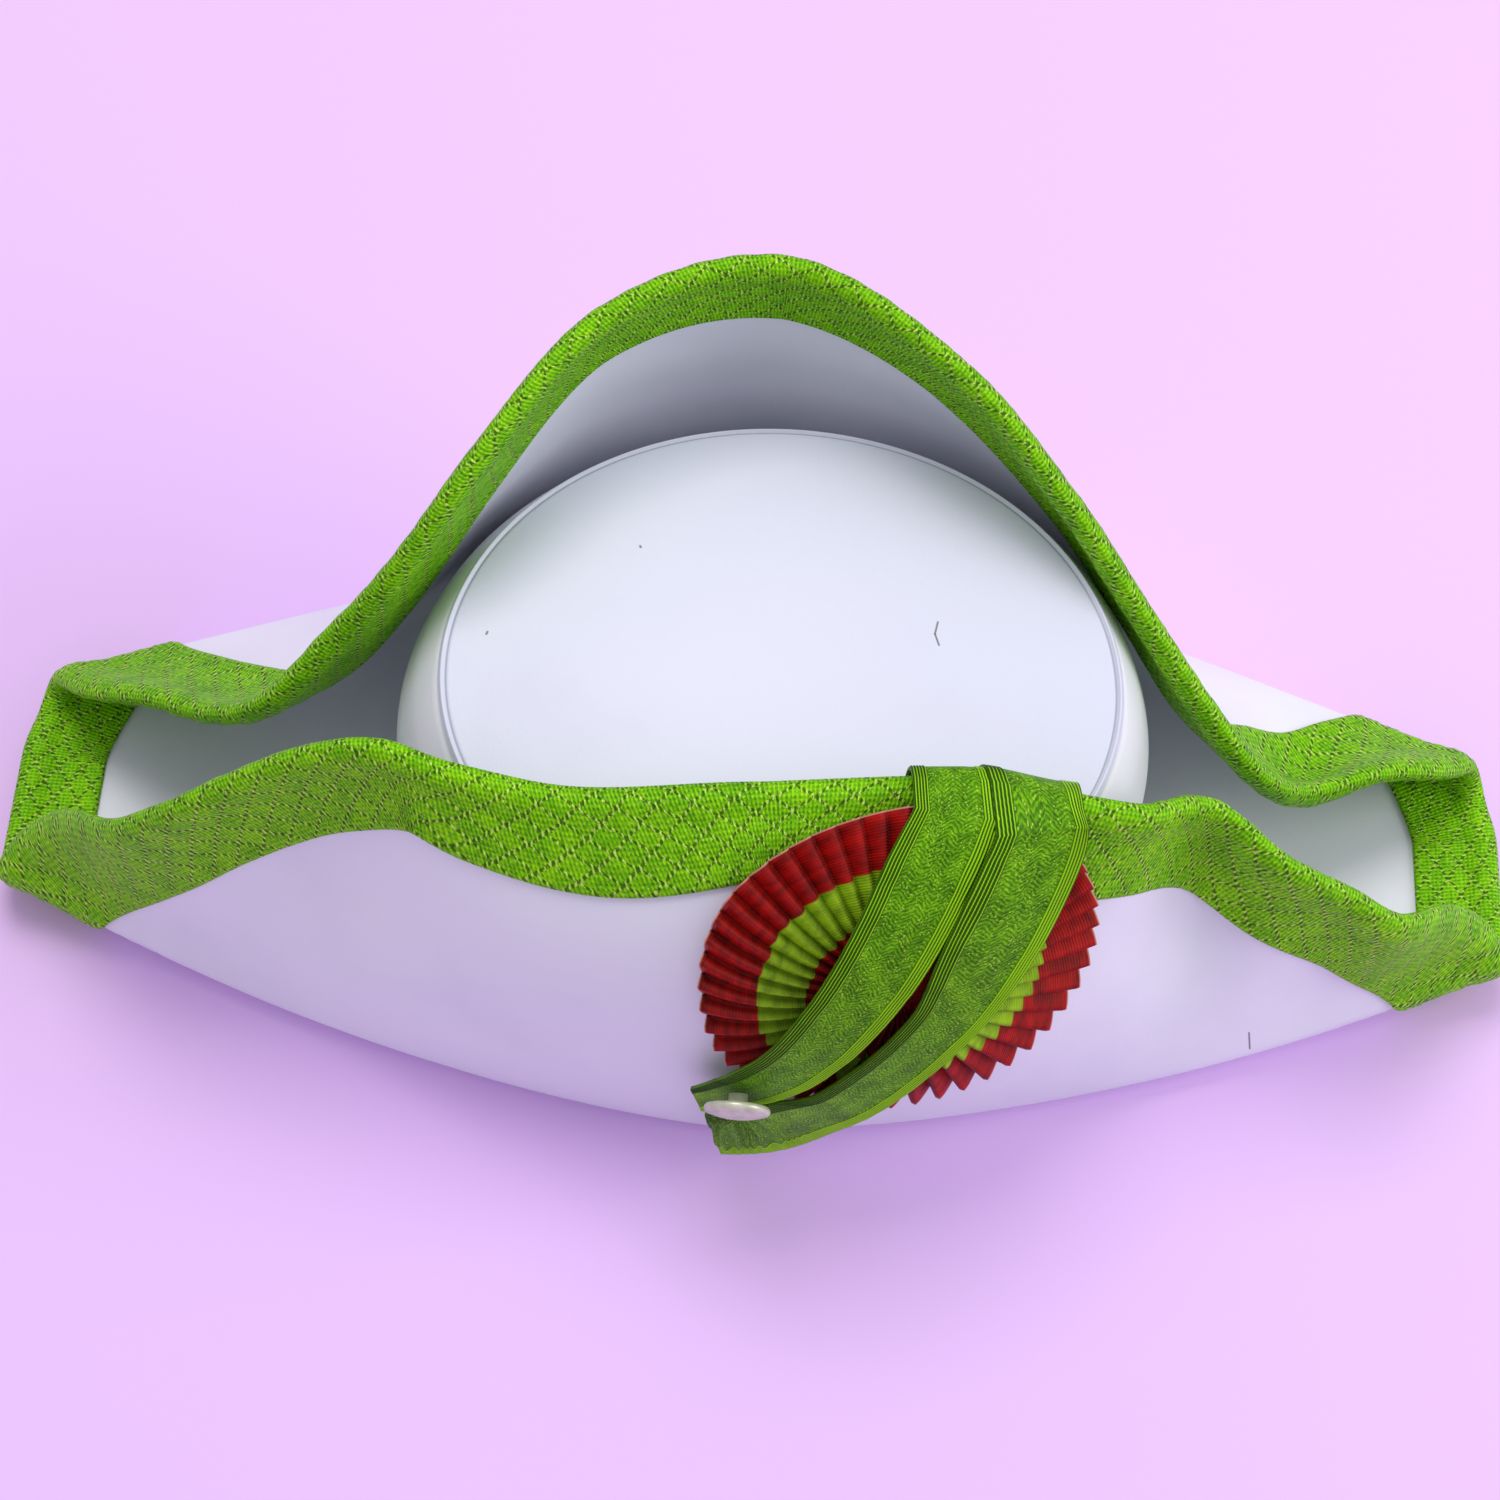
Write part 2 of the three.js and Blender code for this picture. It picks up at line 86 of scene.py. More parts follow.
BACK_FLAP = (
    (-220, 1, 60, 52, 56),
    (-200, 36, 60, 46, 44),
    (-180, 60, 60, 47, 36),
    (-160, 81, 54, 57, 34),
    (-140, 103, 45, 61, 19),
    (-120, 119, 38, 54, -4),
    (-100, 134, 26, 37, 8),
    (-80, 148, 17, 16, 20),
    (-50, 154, 4, -2, 14),
    (0, 152, 0, -5, 2),
    (50, 145, 6, -1, 22),
    (80, 129, 15, 9, 32),
    (100, 118, 22, 29, 25),
    (120, 110, 36, 52, 10),
    (140, 99, 42, 67, 22),
    (160, 76, 62, 77, 14),
    (180, 56, 60, 52, 34),
    (200, 35, 60, 42, 42),
    (220, 1, 60, 50, 54),
)

Array = np.ndarray


class Side(Enum):
    """The two turned-up flaps, with the sign of w on each."""

    FRONT = -1
    BACK = 1


def smooth_between(keys: Array, values: Array, at: Array) -> Array:
    """Read a column between its rows, on a cubic Hermite curve through them.

    Each row's slope is the rise from the row before it to the row after it.

    Args:
        keys: The rows' places, rising.
        values: The column.
        at: The places to read.

    Returns:
        One value for each place.
    """
    rows = np.arange(len(keys))
    before = np.maximum(rows - 1, 0)
    after = np.minimum(rows + 1, len(keys) - 1)
    slopes = (values[after] - values[before]) / (keys[after] - keys[before])
    place = np.clip(at, keys[0], keys[-1])
    i = np.clip(np.searchsorted(keys, place, side="right") - 1, 0, len(keys) - 2)
    step = keys[i + 1] - keys[i]
    t = (place - keys[i]) / step
    return (
        (2 * t**3 - 3 * t**2 + 1) * values[i]
        + (t**3 - 2 * t**2 + t) * step * slopes[i]
        + (3 * t**2 - 2 * t**3) * values[i + 1]
        + (t**3 - t**2) * step * slopes[i + 1]
    )


def smooth_step(low: float, high: float, at: Array) -> Array:
    """Rise from 0 at low to 1 at high on the curve 3t^2 - 2t^3."""
    t = np.clip((at - low) / (high - low), 0.0, 1.0)
    return t * t * (3 - 2 * t)


def unit(vectors: Array) -> Array:
    """Vectors of length one along the last axis."""
    length = np.linalg.norm(vectors, axis=-1, keepdims=True)
    return vectors / np.maximum(length, 1e-12)


@dataclass(frozen=True)
class FoldedBrim:
    """The brim as one sheet: flat places (x, w) folded up into space.

    w is below zero on the front side. The floor runs out to fold_start; past it the
    section leans as its flap's table says, from flat through the fold to the edge.
    """

    half_length: float = 220.0
    half_depth_middle: float = 96.0
    front_end: tuple[float, float] = (35.0, 1.61)
    back_end: tuple[float, float] = (24.0, 1.45)
    thickness: float = 2.4
    fold_radius: float = 8.0
    flat_base_half_length: float = 110.0
    end_lift: float = 9.0
    samples: int = 40
    normal_reach: float = 0.8

    def column(self, side: Side, name: str, x: Array) -> Array:
        """Read a column of a flap's table at each x."""
        rows = np.array(FRONT_FLAP if side is Side.FRONT else BACK_FLAP, float)
        return smooth_between(rows[:, 0], rows[:, FLAP_COLUMNS.index(name)], x)

    def flap_value(self, name: str, x: Array, w: Array) -> Array:
        """Read a column at each flat place, from the flap that the place is on."""
        front = self.column(Side.FRONT, name, x)
        back = self.column(Side.BACK, name, x)
        return np.where(w < 0, front, back)

    def half_depth(self, x: Array, w: Array) -> Array:
        """Depth of the base on the side of w: end + (middle - end) (1 - |x / length|^fullness)."""
        share = np.abs(x / self.half_length)
        depths = [
            end + (self.half_depth_middle - end) * (1 - share**fullness)
            for end, fullness in (self.front_end, self.back_end)
        ]
        return np.where(np.asarray(w) < 0, *depths)

    def floor_height(self, x: Array) -> Array:
        """Height of the floor's middle surface: flat, then rising with the square of x."""
        past = np.maximum(np.abs(x) - self.flat_base_half_length, 0.0)
        share = past / (self.half_length - self.flat_base_half_length)
        return self.thickness / 2 + self.end_lift * share**2

    def fold_start(self, x: Array, w: Array) -> Array:
        """Flat distance from the middle line to where the floor starts to fold up."""
        return self.half_depth(x, w) - self.fold_radius

    def rim_distance(self, x: Array, side: Side) -> Array:
        """Flat distance from the middle line to the flap's edge."""
        return self.fold_start(x, np.array(side.value)) + self.column(side, "slant", x)

    def point(self, x: Array, w: Array) -> Array:
        """Fold flat places up into space.

        The section's direction at each way past the fold start is its lean, which
        runs in straight lines from -90 degrees (flat) through lean_fold at the end of
        the fold and lean_middle half way up to lean_edge at the edge. The place is the
        sum of the small steps along that direction.

        Args:
            x: Places along the hat.
            w: Flat places across it.

        Returns:
            Points of the brim's middle surface, one for each flat place.
        """
        x, w = np.broadcast_arrays(np.asarray(x, float), np.asarray(w, float))
        start = self.fold_start(x, w)
        way = np.maximum(np.abs(w) - start, 0.0)
        fold = self.flap_value("lean_fold", x, w)
        middle = self.flap_value("lean_middle", x, w)
        edge = self.flap_value("lean_edge", x, w)
        slant = self.flap_value("slant", x, w)
        fold_end = self.fold_radius * np.radians(90 + fold)
        half = np.maximum((fold_end + slant) / 2, fold_end + 1)
        full = np.maximum(slant, half + 1)
        inward = np.zeros_like(way)
        upward = np.zeros_like(way)
        for sample in range(self.samples):
            at = way * (sample + 0.5) / self.samples
            folding = -90 + (90 + fold) * (at / fold_end)
            lower = fold + (middle - fold) * ((at - fold_end) / (half - fold_end))
            upper = middle + (edge - middle) * np.minimum((at - half) / (full - half), 1)
            lean = np.where(at < fold_end, folding, np.where(at < half, lower, upper))
            inward += np.sin(np.radians(lean)) * way / self.samples
            upward += np.cos(np.radians(lean)) * way / self.samples
        flat = np.minimum(np.abs(w), start)
        y = np.sign(w) * (flat - inward)
        return np.stack([x, y, self.floor_height(x) + upward], axis=-1)

    def normal(self, x: Array, w: Array) -> Array:
        """Unit vectors out of the outer face, from differences along x and w."""
        reach = self.normal_reach
        along_x = self.point(x + reach, w) - self.point(x - reach, w)
        along_w = self.point(x, w + reach) - self.point(x, w - reach)
        return unit(np.cross(along_w, along_x))

    def off(self, x: Array, w: Array, distance: Array) -> Array:
        """Points that stand off the middle surface, outwards where distance is above 0."""
        x, w, distance = np.broadcast_arrays(x, w, distance)
        return self.point(x, w) + self.normal(x, w) * distance[..., None]


@dataclass(frozen=True)
class Rim:
    """Flat stations round the brim's edge, each with its inward direction."""

    brim: FoldedBrim
    flap_steps: int = 400
    corner_steps: int = 14
    end_steps: int = 40
    corner_cut: float = 12.0

    @property
    def reach(self) -> float:
        """How far from the middle the corners start."""
        return self.brim.half_length - self.corner_cut

    def flap(self, side: Side, start: float, end: float) -> Array:
        """Stations along a flap's edge."""
        x = np.linspace(start, end, self.flap_steps + 1)
        return np.stack([x, side.value * self.brim.rim_distance(x, side)], axis=-1)

    def corner(self, x: float, side: Side) -> Array:
        """The three points that a corner's curve runs on, from the flap to the end."""
        near = math.copysign(self.reach, x)
        w_near, w_end = side.value * self.brim.rim_distance(np.array([near, x]), side)
        return np.array([(near, w_near), (x, w_end), (x, w_end - side.value * self.corner_cut)])

    def bend(self, points: Array) -> Array:
        """The quadratic Bezier curve on three points, without its ends."""
        t = np.arange(1, self.corner_steps + 1)[:, None] / (self.corner_steps + 1)
        a, b, c = points
        return (1 - t) ** 2 * a + 2 * t * (1 - t) * b + t**2 * c

    def end(self, start: Array, finish: Array) -> Array:
        """Stations along an end's straight edge."""
        t = np.linspace(0, 1, self.end_steps + 1)[:, None]
        return start + (finish - start) * t

    def places(self) -> tuple[Array, Array]:
        """Walk round the edge: front flap, right end, back flap, left end.

        Returns:
            The stations (n, 2) and their unit inward directions (n, 2).
        """
        length, reach = self.brim.half_length, self.reach
        front_right, back_right, back_left, front_left = (
            self.corner(x, side)
            for x, side in (
                (length, Side.FRONT), (length, Side.BACK), (-length, Side.BACK), (-length, Side.FRONT)
            )
        )
        stations = np.concatenate(
            [
                self.flap(Side.FRONT, -reach, reach),
                self.bend(front_right),
                self.end(front_right[2], back_right[2]),
                self.bend(back_right[::-1]),
                self.flap(Side.BACK, reach, -reach),
                self.bend(back_left),
                self.end(back_left[2], front_left[2]),
                self.bend(front_left[::-1]),
            ]
        )
        along = unit(np.roll(stations, -1, axis=0) - np.roll(stations, 1, axis=0))
        return stations, np.stack([-along[:, 1], along[:, 0]], axis=-1)


BRIM = FoldedBrim()


# Meshes

@dataclass(frozen=True)
class PartFrame:
    """How the design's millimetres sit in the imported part's metres."""

    shift: Vector

    @staticmethod
    def found() -> "PartFrame":
        """Read the shift from the crown's top panel, whose middle is known in the design."""
        low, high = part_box("crown_tip")
        middle = (low + high) / 2
        return PartFrame(Vector((middle.x - CrownSizes().lean_sideways * MM, middle.y, 0.0)))

    def place(self, points: Array) -> Array:
        """Turn design points in millimetres into part points in metres."""
        return points * MM + np.array(self.shift)


@dataclass(frozen=True)
class Shell:
    """A closed surface on a grid: section loops carried along a path.

    points is (stations, round, 3) in design millimetres. along and across give the
    pattern's place in millimetres, each with one more value, past the seam.
    """

    points: Array
    along: Array
    across: Array
    ring: bool = True
    poles: bool = False

    def faces(self) -> tuple[Array, Array]:
        """List the grid's four-sided faces, with the uv place of each corner."""
        stations, around = self.points.shape[:2]
        uv = np.stack(np.meshgrid(self.along, self.across, indexing="ij"), axis=-1) / UV_UNIT
        spans = stations if self.ring else stations - 1
        i, j = np.meshgrid(np.arange(spans), np.arange(around), indexing="ij")
        corners = [(i, j), (i + 1, j), (i + 1, j + 1), (i, j + 1)]
        faces = np.stack([(a % stations) * around + b % around for a, b in corners], axis=-1)
        places = np.stack([uv[a, b] for a, b in corners], axis=-2)
        faces, places = faces.reshape(-1, 4), places.reshape(-1, 4, 2)
        if self.ring:
            return faces, places
        k = np.arange(around // 2 - 1)
        lids = np.stack([k, k + 1, around - 2 - k, around - 1 - k], axis=-1)
        far = lids[:, ::-1]
        ends = np.concatenate([lids, (stations - 1) * around + far])
        end_uv = np.concatenate([uv[0][lids], uv[stations - 1][far]])
        return np.concatenate([faces, ends]), np.concatenate([places, end_uv])

    def build(self, name: str, where: PartFrame) -> bpy.types.Object:
        """Make the object, with its faces turned outwards by the sign of its volume.

        Args:
            name: The piece's name.
            where: The part's frame.

        Returns:
            The new object, linked to the scene.
        """
        faces, places = self.faces()
        vertices = where.place(self.points.reshape(-1, 3))
        a, b, c, d = (vertices[faces[:, k]] for k in range(4))
        volume = np.einsum("ij,ij->", a, np.cross(b, c)) + np.einsum("ij,ij->", a, np.cross(c, d))
        if volume < 0:
            faces, places = faces[:, ::-1], places[:, ::-1]
        mesh = bpy.data.meshes.new(name)
        mesh.from_pydata(vertices.tolist(), [], faces.tolist())
        mesh.polygons.foreach_set("use_smooth", np.ones(len(faces), bool))
        layer = mesh.uv_layers.new(name="pattern")
        layer.data.foreach_set("uv", np.ascontiguousarray(places, np.float32).ravel())
        if self.poles:
            self.merge_poles(mesh)
        mesh.update()
        made = bpy.data.objects.new(name, mesh)
        bpy.context.scene.collection.objects.link(made)
        return made

    @staticmethod
    def merge_poles(mesh: bpy.types.Mesh) -> None:
        """Join the points that meet at a turned piece's middle into one."""
        joined = bmesh.new()
        joined.from_mesh(mesh)
        bmesh.ops.remove_doubles(joined, verts=joined.verts, dist=MERGE_DISTANCE)
        bare = [edge for edge in joined.edges if not edge.link_faces]
        bmesh.ops.delete(joined, geom=bare, context="EDGES")
        joined.to_mesh(mesh)
        joined.free()


def path_length(points: Array) -> Array:
    """Length along a line of points, from its first point to each."""
    steps = np.linalg.norm(np.diff(points, axis=0), axis=-1)
    return np.concatenate([[0.0], np.cumsum(steps)])


def closed(points: Array) -> Array:
    """A line of points with its first one again at its end."""
    return np.concatenate([points, points[:1]])


def round_end(at: float, outer: float, inner: float, steps: int) -> Array:
    """Half circle from (at, outer) to (at, inner), bulging to rising first coordinates.

    Args:
        at: First coordinate of both ends.
        outer: Second coordinate where the half circle starts.
        inner: Second coordinate where it ends.
        steps: Points on it, without its ends.

    Returns:
        Points (steps, 2).
    """
    angle = np.pi * np.arange(1, steps + 1) / (steps + 1)
    middle, radius = (outer + inner) / 2, (outer - inner) / 2
    return np.stack([at + abs(radius) * np.sin(angle), middle + radius * np.cos(angle)], axis=-1)


# Materials

def by(operation: str) -> Callable[..., "Value"]:
    """A method that adds a Math node with this operation on a value and its operand."""

    def method(self: "Value", *others: object) -> "Value":
        """The node's result."""
        inputs = dict(enumerate((self, *others)))
        node = self.graph.node("ShaderNodeMath", {"operation": operation}, inputs)
        return Value(self.graph, node.outputs[0])

    return method


class Value:
    """A shader socket that takes part in Python expressions as a number."""

    def __init__(self, graph: "Graph", socket: bpy.types.NodeSocket) -> None:
        """Wrap a socket of a graph."""
        self.graph = graph
        self.socket = socket

    __add__ = __radd__ = by("ADD")
    __mul__ = by("MULTIPLY")
    __sub__ = by("SUBTRACT")
    __truediv__ = by("DIVIDE")
    __pow__ = by("POWER")
    __mod__ = by("FLOORED_MODULO")
    __abs__ = by("ABSOLUTE")
    floor = by("FLOOR")
    at_least = by("MAXIMUM")
    at_most = by("MINIMUM")
    sine = by("SINE")

    def __rsub__(self, other: object) -> "Value":
        """other - self."""
        return self * -1.0 + other

    def waves(self, pitch: float, phase: "Value | None" = None) -> "Value":
        """Sine waves from 0 to 1, one to each pitch, moved by a phase in radians."""
        turn = self * (2 * math.pi / pitch)
        return (turn if phase is None else turn + phase).sine() * 0.5 + 0.5

    def rising(self, low: float, high: float) -> "Value":
        """0 below low, 1 above high, and a smooth step between them."""
        node = self.graph.node(
            "ShaderNodeMapRange",
            {"interpolation_type": "SMOOTHSTEP"},
            {"Value": self, "From Min": low, "From Max": high},
        )
        return Value(self.graph, node.outputs["Result"])


class Graph:
    """A material's nodes, built up by typed calls."""

    def __init__(self, name: str) -> None:
        """Start an empty material with its shader and its output."""
        self.material = bpy.data.materials.new(name)
        self.material.use_nodes = True
        self.tree = self.material.node_tree
        self.tree.nodes.clear()
        self.shader = self.node("ShaderNodeBsdfPrincipled")
        output = self.node("ShaderNodeOutputMaterial")
        self.tree.links.new(self.shader.outputs[0], output.inputs["Surface"])

    def node(
        self, kind: str, settings: dict | None = None, inputs: dict | None = None
    ) -> bpy.types.Node:
        """Add a node.

        Args:
            kind: The node's type.
            settings: Its own properties, set first.
            inputs: What its sockets are given, by name or index.

        Returns:
            The node.
        """
        node = self.tree.nodes.new(kind)
        for name, setting in (settings or {}).items():
            setattr(node, name, setting)
        for name, given in (inputs or {}).items():
            self.fill(node.inputs[name], given)
        return node

    def fill(self, socket: bpy.types.NodeSocket, given: object) -> None:
        """Link a value to a socket, or set a number, a vector or a hex colour on it."""
        if isinstance(given, Value):
            self.tree.links.new(given.socket, socket)
        elif isinstance(given, str):
            socket.default_value = (*colour(given), 1.0)
        else:
            socket.default_value = given

    def pattern(self) -> tuple[Value, Value]:
        """The uv place in millimetres, along and across the piece."""
        node = self.node("ShaderNodeUVMap", {"uv_map": "pattern"})
        parts = self.node("ShaderNodeSeparateXYZ", None, {0: Value(self, node.outputs[0])})
        return Value(self, parts.outputs[0]) * UV_UNIT, Value(self, parts.outputs[1]) * UV_UNIT

    def place(self) -> Value:
        """The Object coordinates, in metres."""
        node = self.node("ShaderNodeTexCoord")
        return Value(self, node.outputs["Object"])

    def combine(self, x: object, y: object, z: object = 0.0) -> Value:
        """A vector from three numbers."""
        node = self.node("ShaderNodeCombineXYZ", None, {0: x, 1: y, 2: z})
        return Value(self, node.outputs[0])

    def vector(self, operation: str, inputs: dict, output: str = "Vector") -> Value:
        """One output of a Vector Math node."""
        node = self.node("ShaderNodeVectorMath", {"operation": operation}, inputs)
        return Value(self, node.outputs[output])

    def noise(self, scale: float, vector: Value, detail: float = 2.0) -> Value:
        """Smooth noise from 0 to 1 round 0.5."""
        inputs = {"Vector": vector, "Scale": scale, "Detail": detail}
        return Value(self, self.node("ShaderNodeTexNoise", None, inputs).outputs[0])

    def dice(self, vector: Value) -> Value:
        """A number from 0 to 1 that differs from place to place."""
        node = self.node("ShaderNodeTexWhiteNoise", {"noise_dimensions": "3D"}, {"Vector": vector})
        return Value(self, node.outputs[0])

    def cells(self, along: Value, across: Value, size: float, seed: float = 0.0) -> Value:
        """A number from 0 to 1 for each square cell of the pattern."""
        return self.dice(self.combine((along / size).floor(), (across / size).floor(), seed))

    def mixed(self, factor: object, first: object, second: object) -> Value:
        """The first colour changed into the second, by factor."""
        node = self.node("ShaderNodeMix", {"data_type": "RGBA"}, {0: factor, 6: first, 7: second})
        return Value(self, node.outputs[2])

    def bump(self, height: Value, distance_mm: float) -> Value:
        """A normal bent by a height of distance_mm for a rise of one."""
        node = self.node("ShaderNodeBump", None, {"Height": height, "Distance": distance_mm * MM})
        return Value(self, node.outputs[0])

    def dress(self, **sockets: object) -> bpy.types.Material:
        """Give the shader its values and links and return the material.

        Args:
            sockets: The shader's sockets by name, with _ for each space.

        Returns:
            The finished material.
        """
        for name, given in sockets.items():
            self.fill(self.shader.inputs[name.replace("_", " ")], given)
        return self.material

    def dress_in_thread(self, base: Value, specks: Value, normal: Value) -> bpy.types.Material:
        """Finish the material as metal-threaded lace, whose gloss differs from speck to speck."""
        return self.dress(
            Base_Color=base,
            Metallic=0.25,
            Roughness=0.42 + specks * 0.18,
            Normal=normal,
            Specular_IOR_Level=0.15,
        )


def colour(hexes: str) -> tuple[float, float, float]:
    """A linear colour from a hex one."""
    parts = [int(hexes[i : i + 2], 16) / 255 for i in (0, 2, 4)]
    return tuple(p / 12.92 if p <= 0.04045 else ((p + 0.055) / 1.055) ** 2.4 for p in parts)


@dataclass(frozen=True)
class Mark:
    """A small dark scratch or speck: a short line on a face, in part metres."""

    start: tuple[float, float, float]
    end: tuple[float, float, float]
    width_mm: float
    edge_shares: tuple[float, float] = (0.5, 1.6)

    def cover(self, graph: Graph, place: Value) -> Value:
        """How much the mark covers: 1 near its line, fading out over shares of half its width."""
        line = np.array(self.end) - np.array(self.start)
        length = float(np.linalg.norm(line))
        toward = tuple(float(v) for v in line / length)
        offset = graph.vector("SUBTRACT", {0: place, 1: self.start})
        along = graph.vector("DOT_PRODUCT", {0: offset, 1: toward}, "Value")
        foot = graph.vector("SCALE", {0: toward, "Scale": along.at_least(0.0).at_most(length)})
        gap = graph.vector("DISTANCE", {0: offset, 1: foot}, "Value")
        low, high = (self.width_mm * MM / 2 * share for share in self.edge_shares)
        return 1.0 - gap.rising(low, high)


@dataclass(frozen=True)
class SmoothCover:
    """White leather cloth with a soft satin gloss and a fine grain."""

    name: str
    # The defaults serve the crown's top panel, painted darker than the brim's and the side's copies of
    # the same cloth: painted shade that tones down the stronger light on the top.
    base: str = "DADCEF"
    soiled: str = "CACBE0"
    marks: tuple[Mark, ...] = ()
    # Where across the pattern a dark line of painted shade runs along the seam's groove, its colour and
    # its soft edge.
    seam_groove_shade_at: float | None = None
    scratch: str = "3A3836"
    seam_groove_shade: str = "6E7286"
    seam_groove_shade_edge: tuple[float, float] = (0.1, 0.42)
    cloud_scale: float = 14.0
    hill_scale: float = 60.0
    grain_scale: float = 1400.0
    relief: float = 0.12

    def material(self) -> bpy.types.Material:
        """Build the finish: a faint unevenness of colour, a fine grain, the marks and, where given, a
        dark line of painted shade along the seam's groove.
        """
        graph = Graph(self.name)
        place = graph.place()
        clouds = graph.noise(self.cloud_scale, place, detail=3.0)
        base = graph.mixed(clouds.rising(0.45, 0.8) * 0.5, self.base, self.soiled)
        for mark in self.marks:
            base = graph.mixed(mark.cover(graph, place) * 0.8, base, self.scratch)
        # Painted shade: a dark line along the groove beside the top panel's seam.
        if self.seam_groove_shade_at is not None:
            line = 1.0 - abs(graph.pattern()[1] - self.seam_groove_shade_at).rising(*self.seam_groove_shade_edge)
            base = graph.mixed(line * 0.55, base, self.seam_groove_shade)
        height = graph.noise(self.grain_scale, place) * 0.35 + graph.noise(self.hill_scale, place)
        return graph.dress(
            Base_Color=base,
            Roughness=0.36 + clouds * 0.1,
            Normal=graph.bump(height, self.relief),
            Coat_Weight=0.12,
            Coat_Roughness=0.35,
            Specular_IOR_Level=0.45,
        )


@dataclass(frozen=True)
class EdgeLaceFinish:
    """Lime metallic lace: fine ribs across it and a trellis of dotted diamonds."""

    lozenge: tuple[float, float] = (10.4, 6.8)
    line_edge: tuple[float, float] = (0.035, 0.1)
    wander: float = 0.22
    wander_scale: float = 0.35
    patch_scale: float = 0.12
    dash: float = 1.7
    rib: float = 1.15
    rib_lean: float = 0.08
    stitch: float = 1.3
    cell: float = 0.6
    fine_cell: float = 0.4
    dark_to_middle: tuple[float, float] = (0.15, 0.75)
    middle_to_bright: tuple[float, float] = (0.55, 1.15)
    relief: float = 0.28
    bright: str = "ADEB10"
    middle: str = "74C004"
    dark: str = "3C7A02"
    dots: str = "1E4002"
    glint: str = "EDFF86"

    def material(self) -> bpy.types.Material:
        """Build the finish on the piece's own uv map, along and across the lace."""
        graph = Graph("edge_lace_weave")
        along, across = graph.pattern()
        flat = graph.combine(along, across)
        wander = graph.noise(self.wander_scale, flat) * self.wander
        long_way, short_way = along / self.lozenge[0], across / self.lozenge[1]
        first = abs((long_way + short_way + wander) % 1.0 - 0.5)
        second = abs((long_way - short_way + wander) % 1.0 - 0.5)
        trellis = 1.0 - first.at_most(second).rising(*self.line_edge)
        ribs = (along + across * self.rib_lean).waves(self.rib)
        stitches = across.waves(self.stitch, ribs * 1.5)
        specks = graph.cells(along, across, self.cell)
        fine = graph.cells(along, across, self.fine_cell, seed=5.0)
        patches = graph.noise(self.patch_scale, flat, detail=3.0)
        tone = ribs * 0.3 + stitches * 0.16 + specks * 0.3 + patches * 0.5
        base = graph.mixed(tone.rising(*self.dark_to_middle), self.dark, self.middle)
        base = graph.mixed(tone.rising(*self.middle_to_bright), base, self.bright)
        beads = along.waves(self.dash, specks * 1.6)
        dotted = trellis * (1.0 - beads.rising(0.4, 0.6))
        base = graph.mixed(dotted * 0.75, base, self.dots)
        glint = (trellis * beads.rising(0.72, 0.9) + fine.rising(0.975, 0.985) * 0.5).at_most(1.0)
        base = graph.mixed(glint * 0.55, base, self.glint)
        height = ribs * 0.45 + stitches * 0.2 + specks * 0.25 - dotted * 0.5 + glint * 0.4
        return graph.dress_in_thread(base, specks, graph.bump(height, self.relief))


@dataclass(frozen=True)
class LoopLaceFinish:
    """Lime metallic lace with thin raised cords at both sides and a flecked twill between, with painted
    shade in the grooves between the cords.
    """

    half_width: float = 12.1
    cord_band: float = 4.4
    band_blur: float = 0.4
    cord_pitch: float = 0.88
    twist_pitch: float = 0.9
    bone_pitch: float = 1.25
    bone_width: float = 3.1
    wander: float = 2.4
    wander_scale: float = 0.5
    patch_scale: float = 0.13
    cell: float = 0.5
    fine_cell: float = 0.36
    deep_to_dark: tuple[float, float] = (0.24, 0.86)
    dark_to_bright: tuple[float, float] = (0.6, 1.35)
    groove_shade_to_cord: tuple[float, float] = (0.2, 1.0)
    relief: float = 0.18
    bright: str = "9FE010"
    dark: str = "5F9E04"
    deep: str = "2E5602"
    # Painted shade in the grooves between the cords.
    groove: str = "284F04"
    glint: str = "D2F45A"

    def material(self) -> bpy.types.Material:
        """Build the finish on the piece's own uv map, along and across the strip."""
        graph = Graph("loop_lace_weave")
        along, across = graph.pattern()
        flat = graph.combine(along, across)
        out = abs(across)
        band_from = self.half_width - self.cord_band
        side = out.rising(band_from - self.band_blur, band_from)
        cords = (out - self.half_width).waves(self.cord_pitch)
        twist = (along + out * 0.8).waves(self.twist_pitch)
        wander = graph.noise(self.wander_scale, flat) * self.wander
        lean = ((across / self.bone_width) % 2.0).floor() * 2.0 - 1.0
        bones = (along + across * lean * 0.8 + wander).waves(self.bone_pitch)
        specks = graph.cells(along, across, self.cell)
        fine = graph.cells(along, across, self.fine_cell, seed=4.0)
        patches = graph.noise(self.patch_scale, flat, detail=3.0)
        velvet = bones * 0.3 + specks * 0.26 + patches * 0.75
        middle = graph.mixed(velvet.rising(*self.deep_to_dark), self.deep, self.dark)
        middle = graph.mixed(velvet.rising(*self.dark_to_bright), middle, self.bright)
        middle = graph.mixed(fine.rising(0.95, 0.97) * 0.5, middle, self.glint)
        # Painted shade: the grooves between the cords are darkened, the cords themselves left bright.
        lit = cords ** 1.6 * 0.8 + twist * 0.12 + patches * 0.25
        band = graph.mixed(lit.rising(*self.groove_shade_to_cord), self.groove, self.bright)
        base = graph.mixed(side, middle, band)
        height = side * (cords * 0.9 + twist * 0.15) + (1.0 - side) * (bones * 0.4 + specks * 0.5)
        return graph.dress_in_thread(base, specks, graph.bump(height, self.relief))


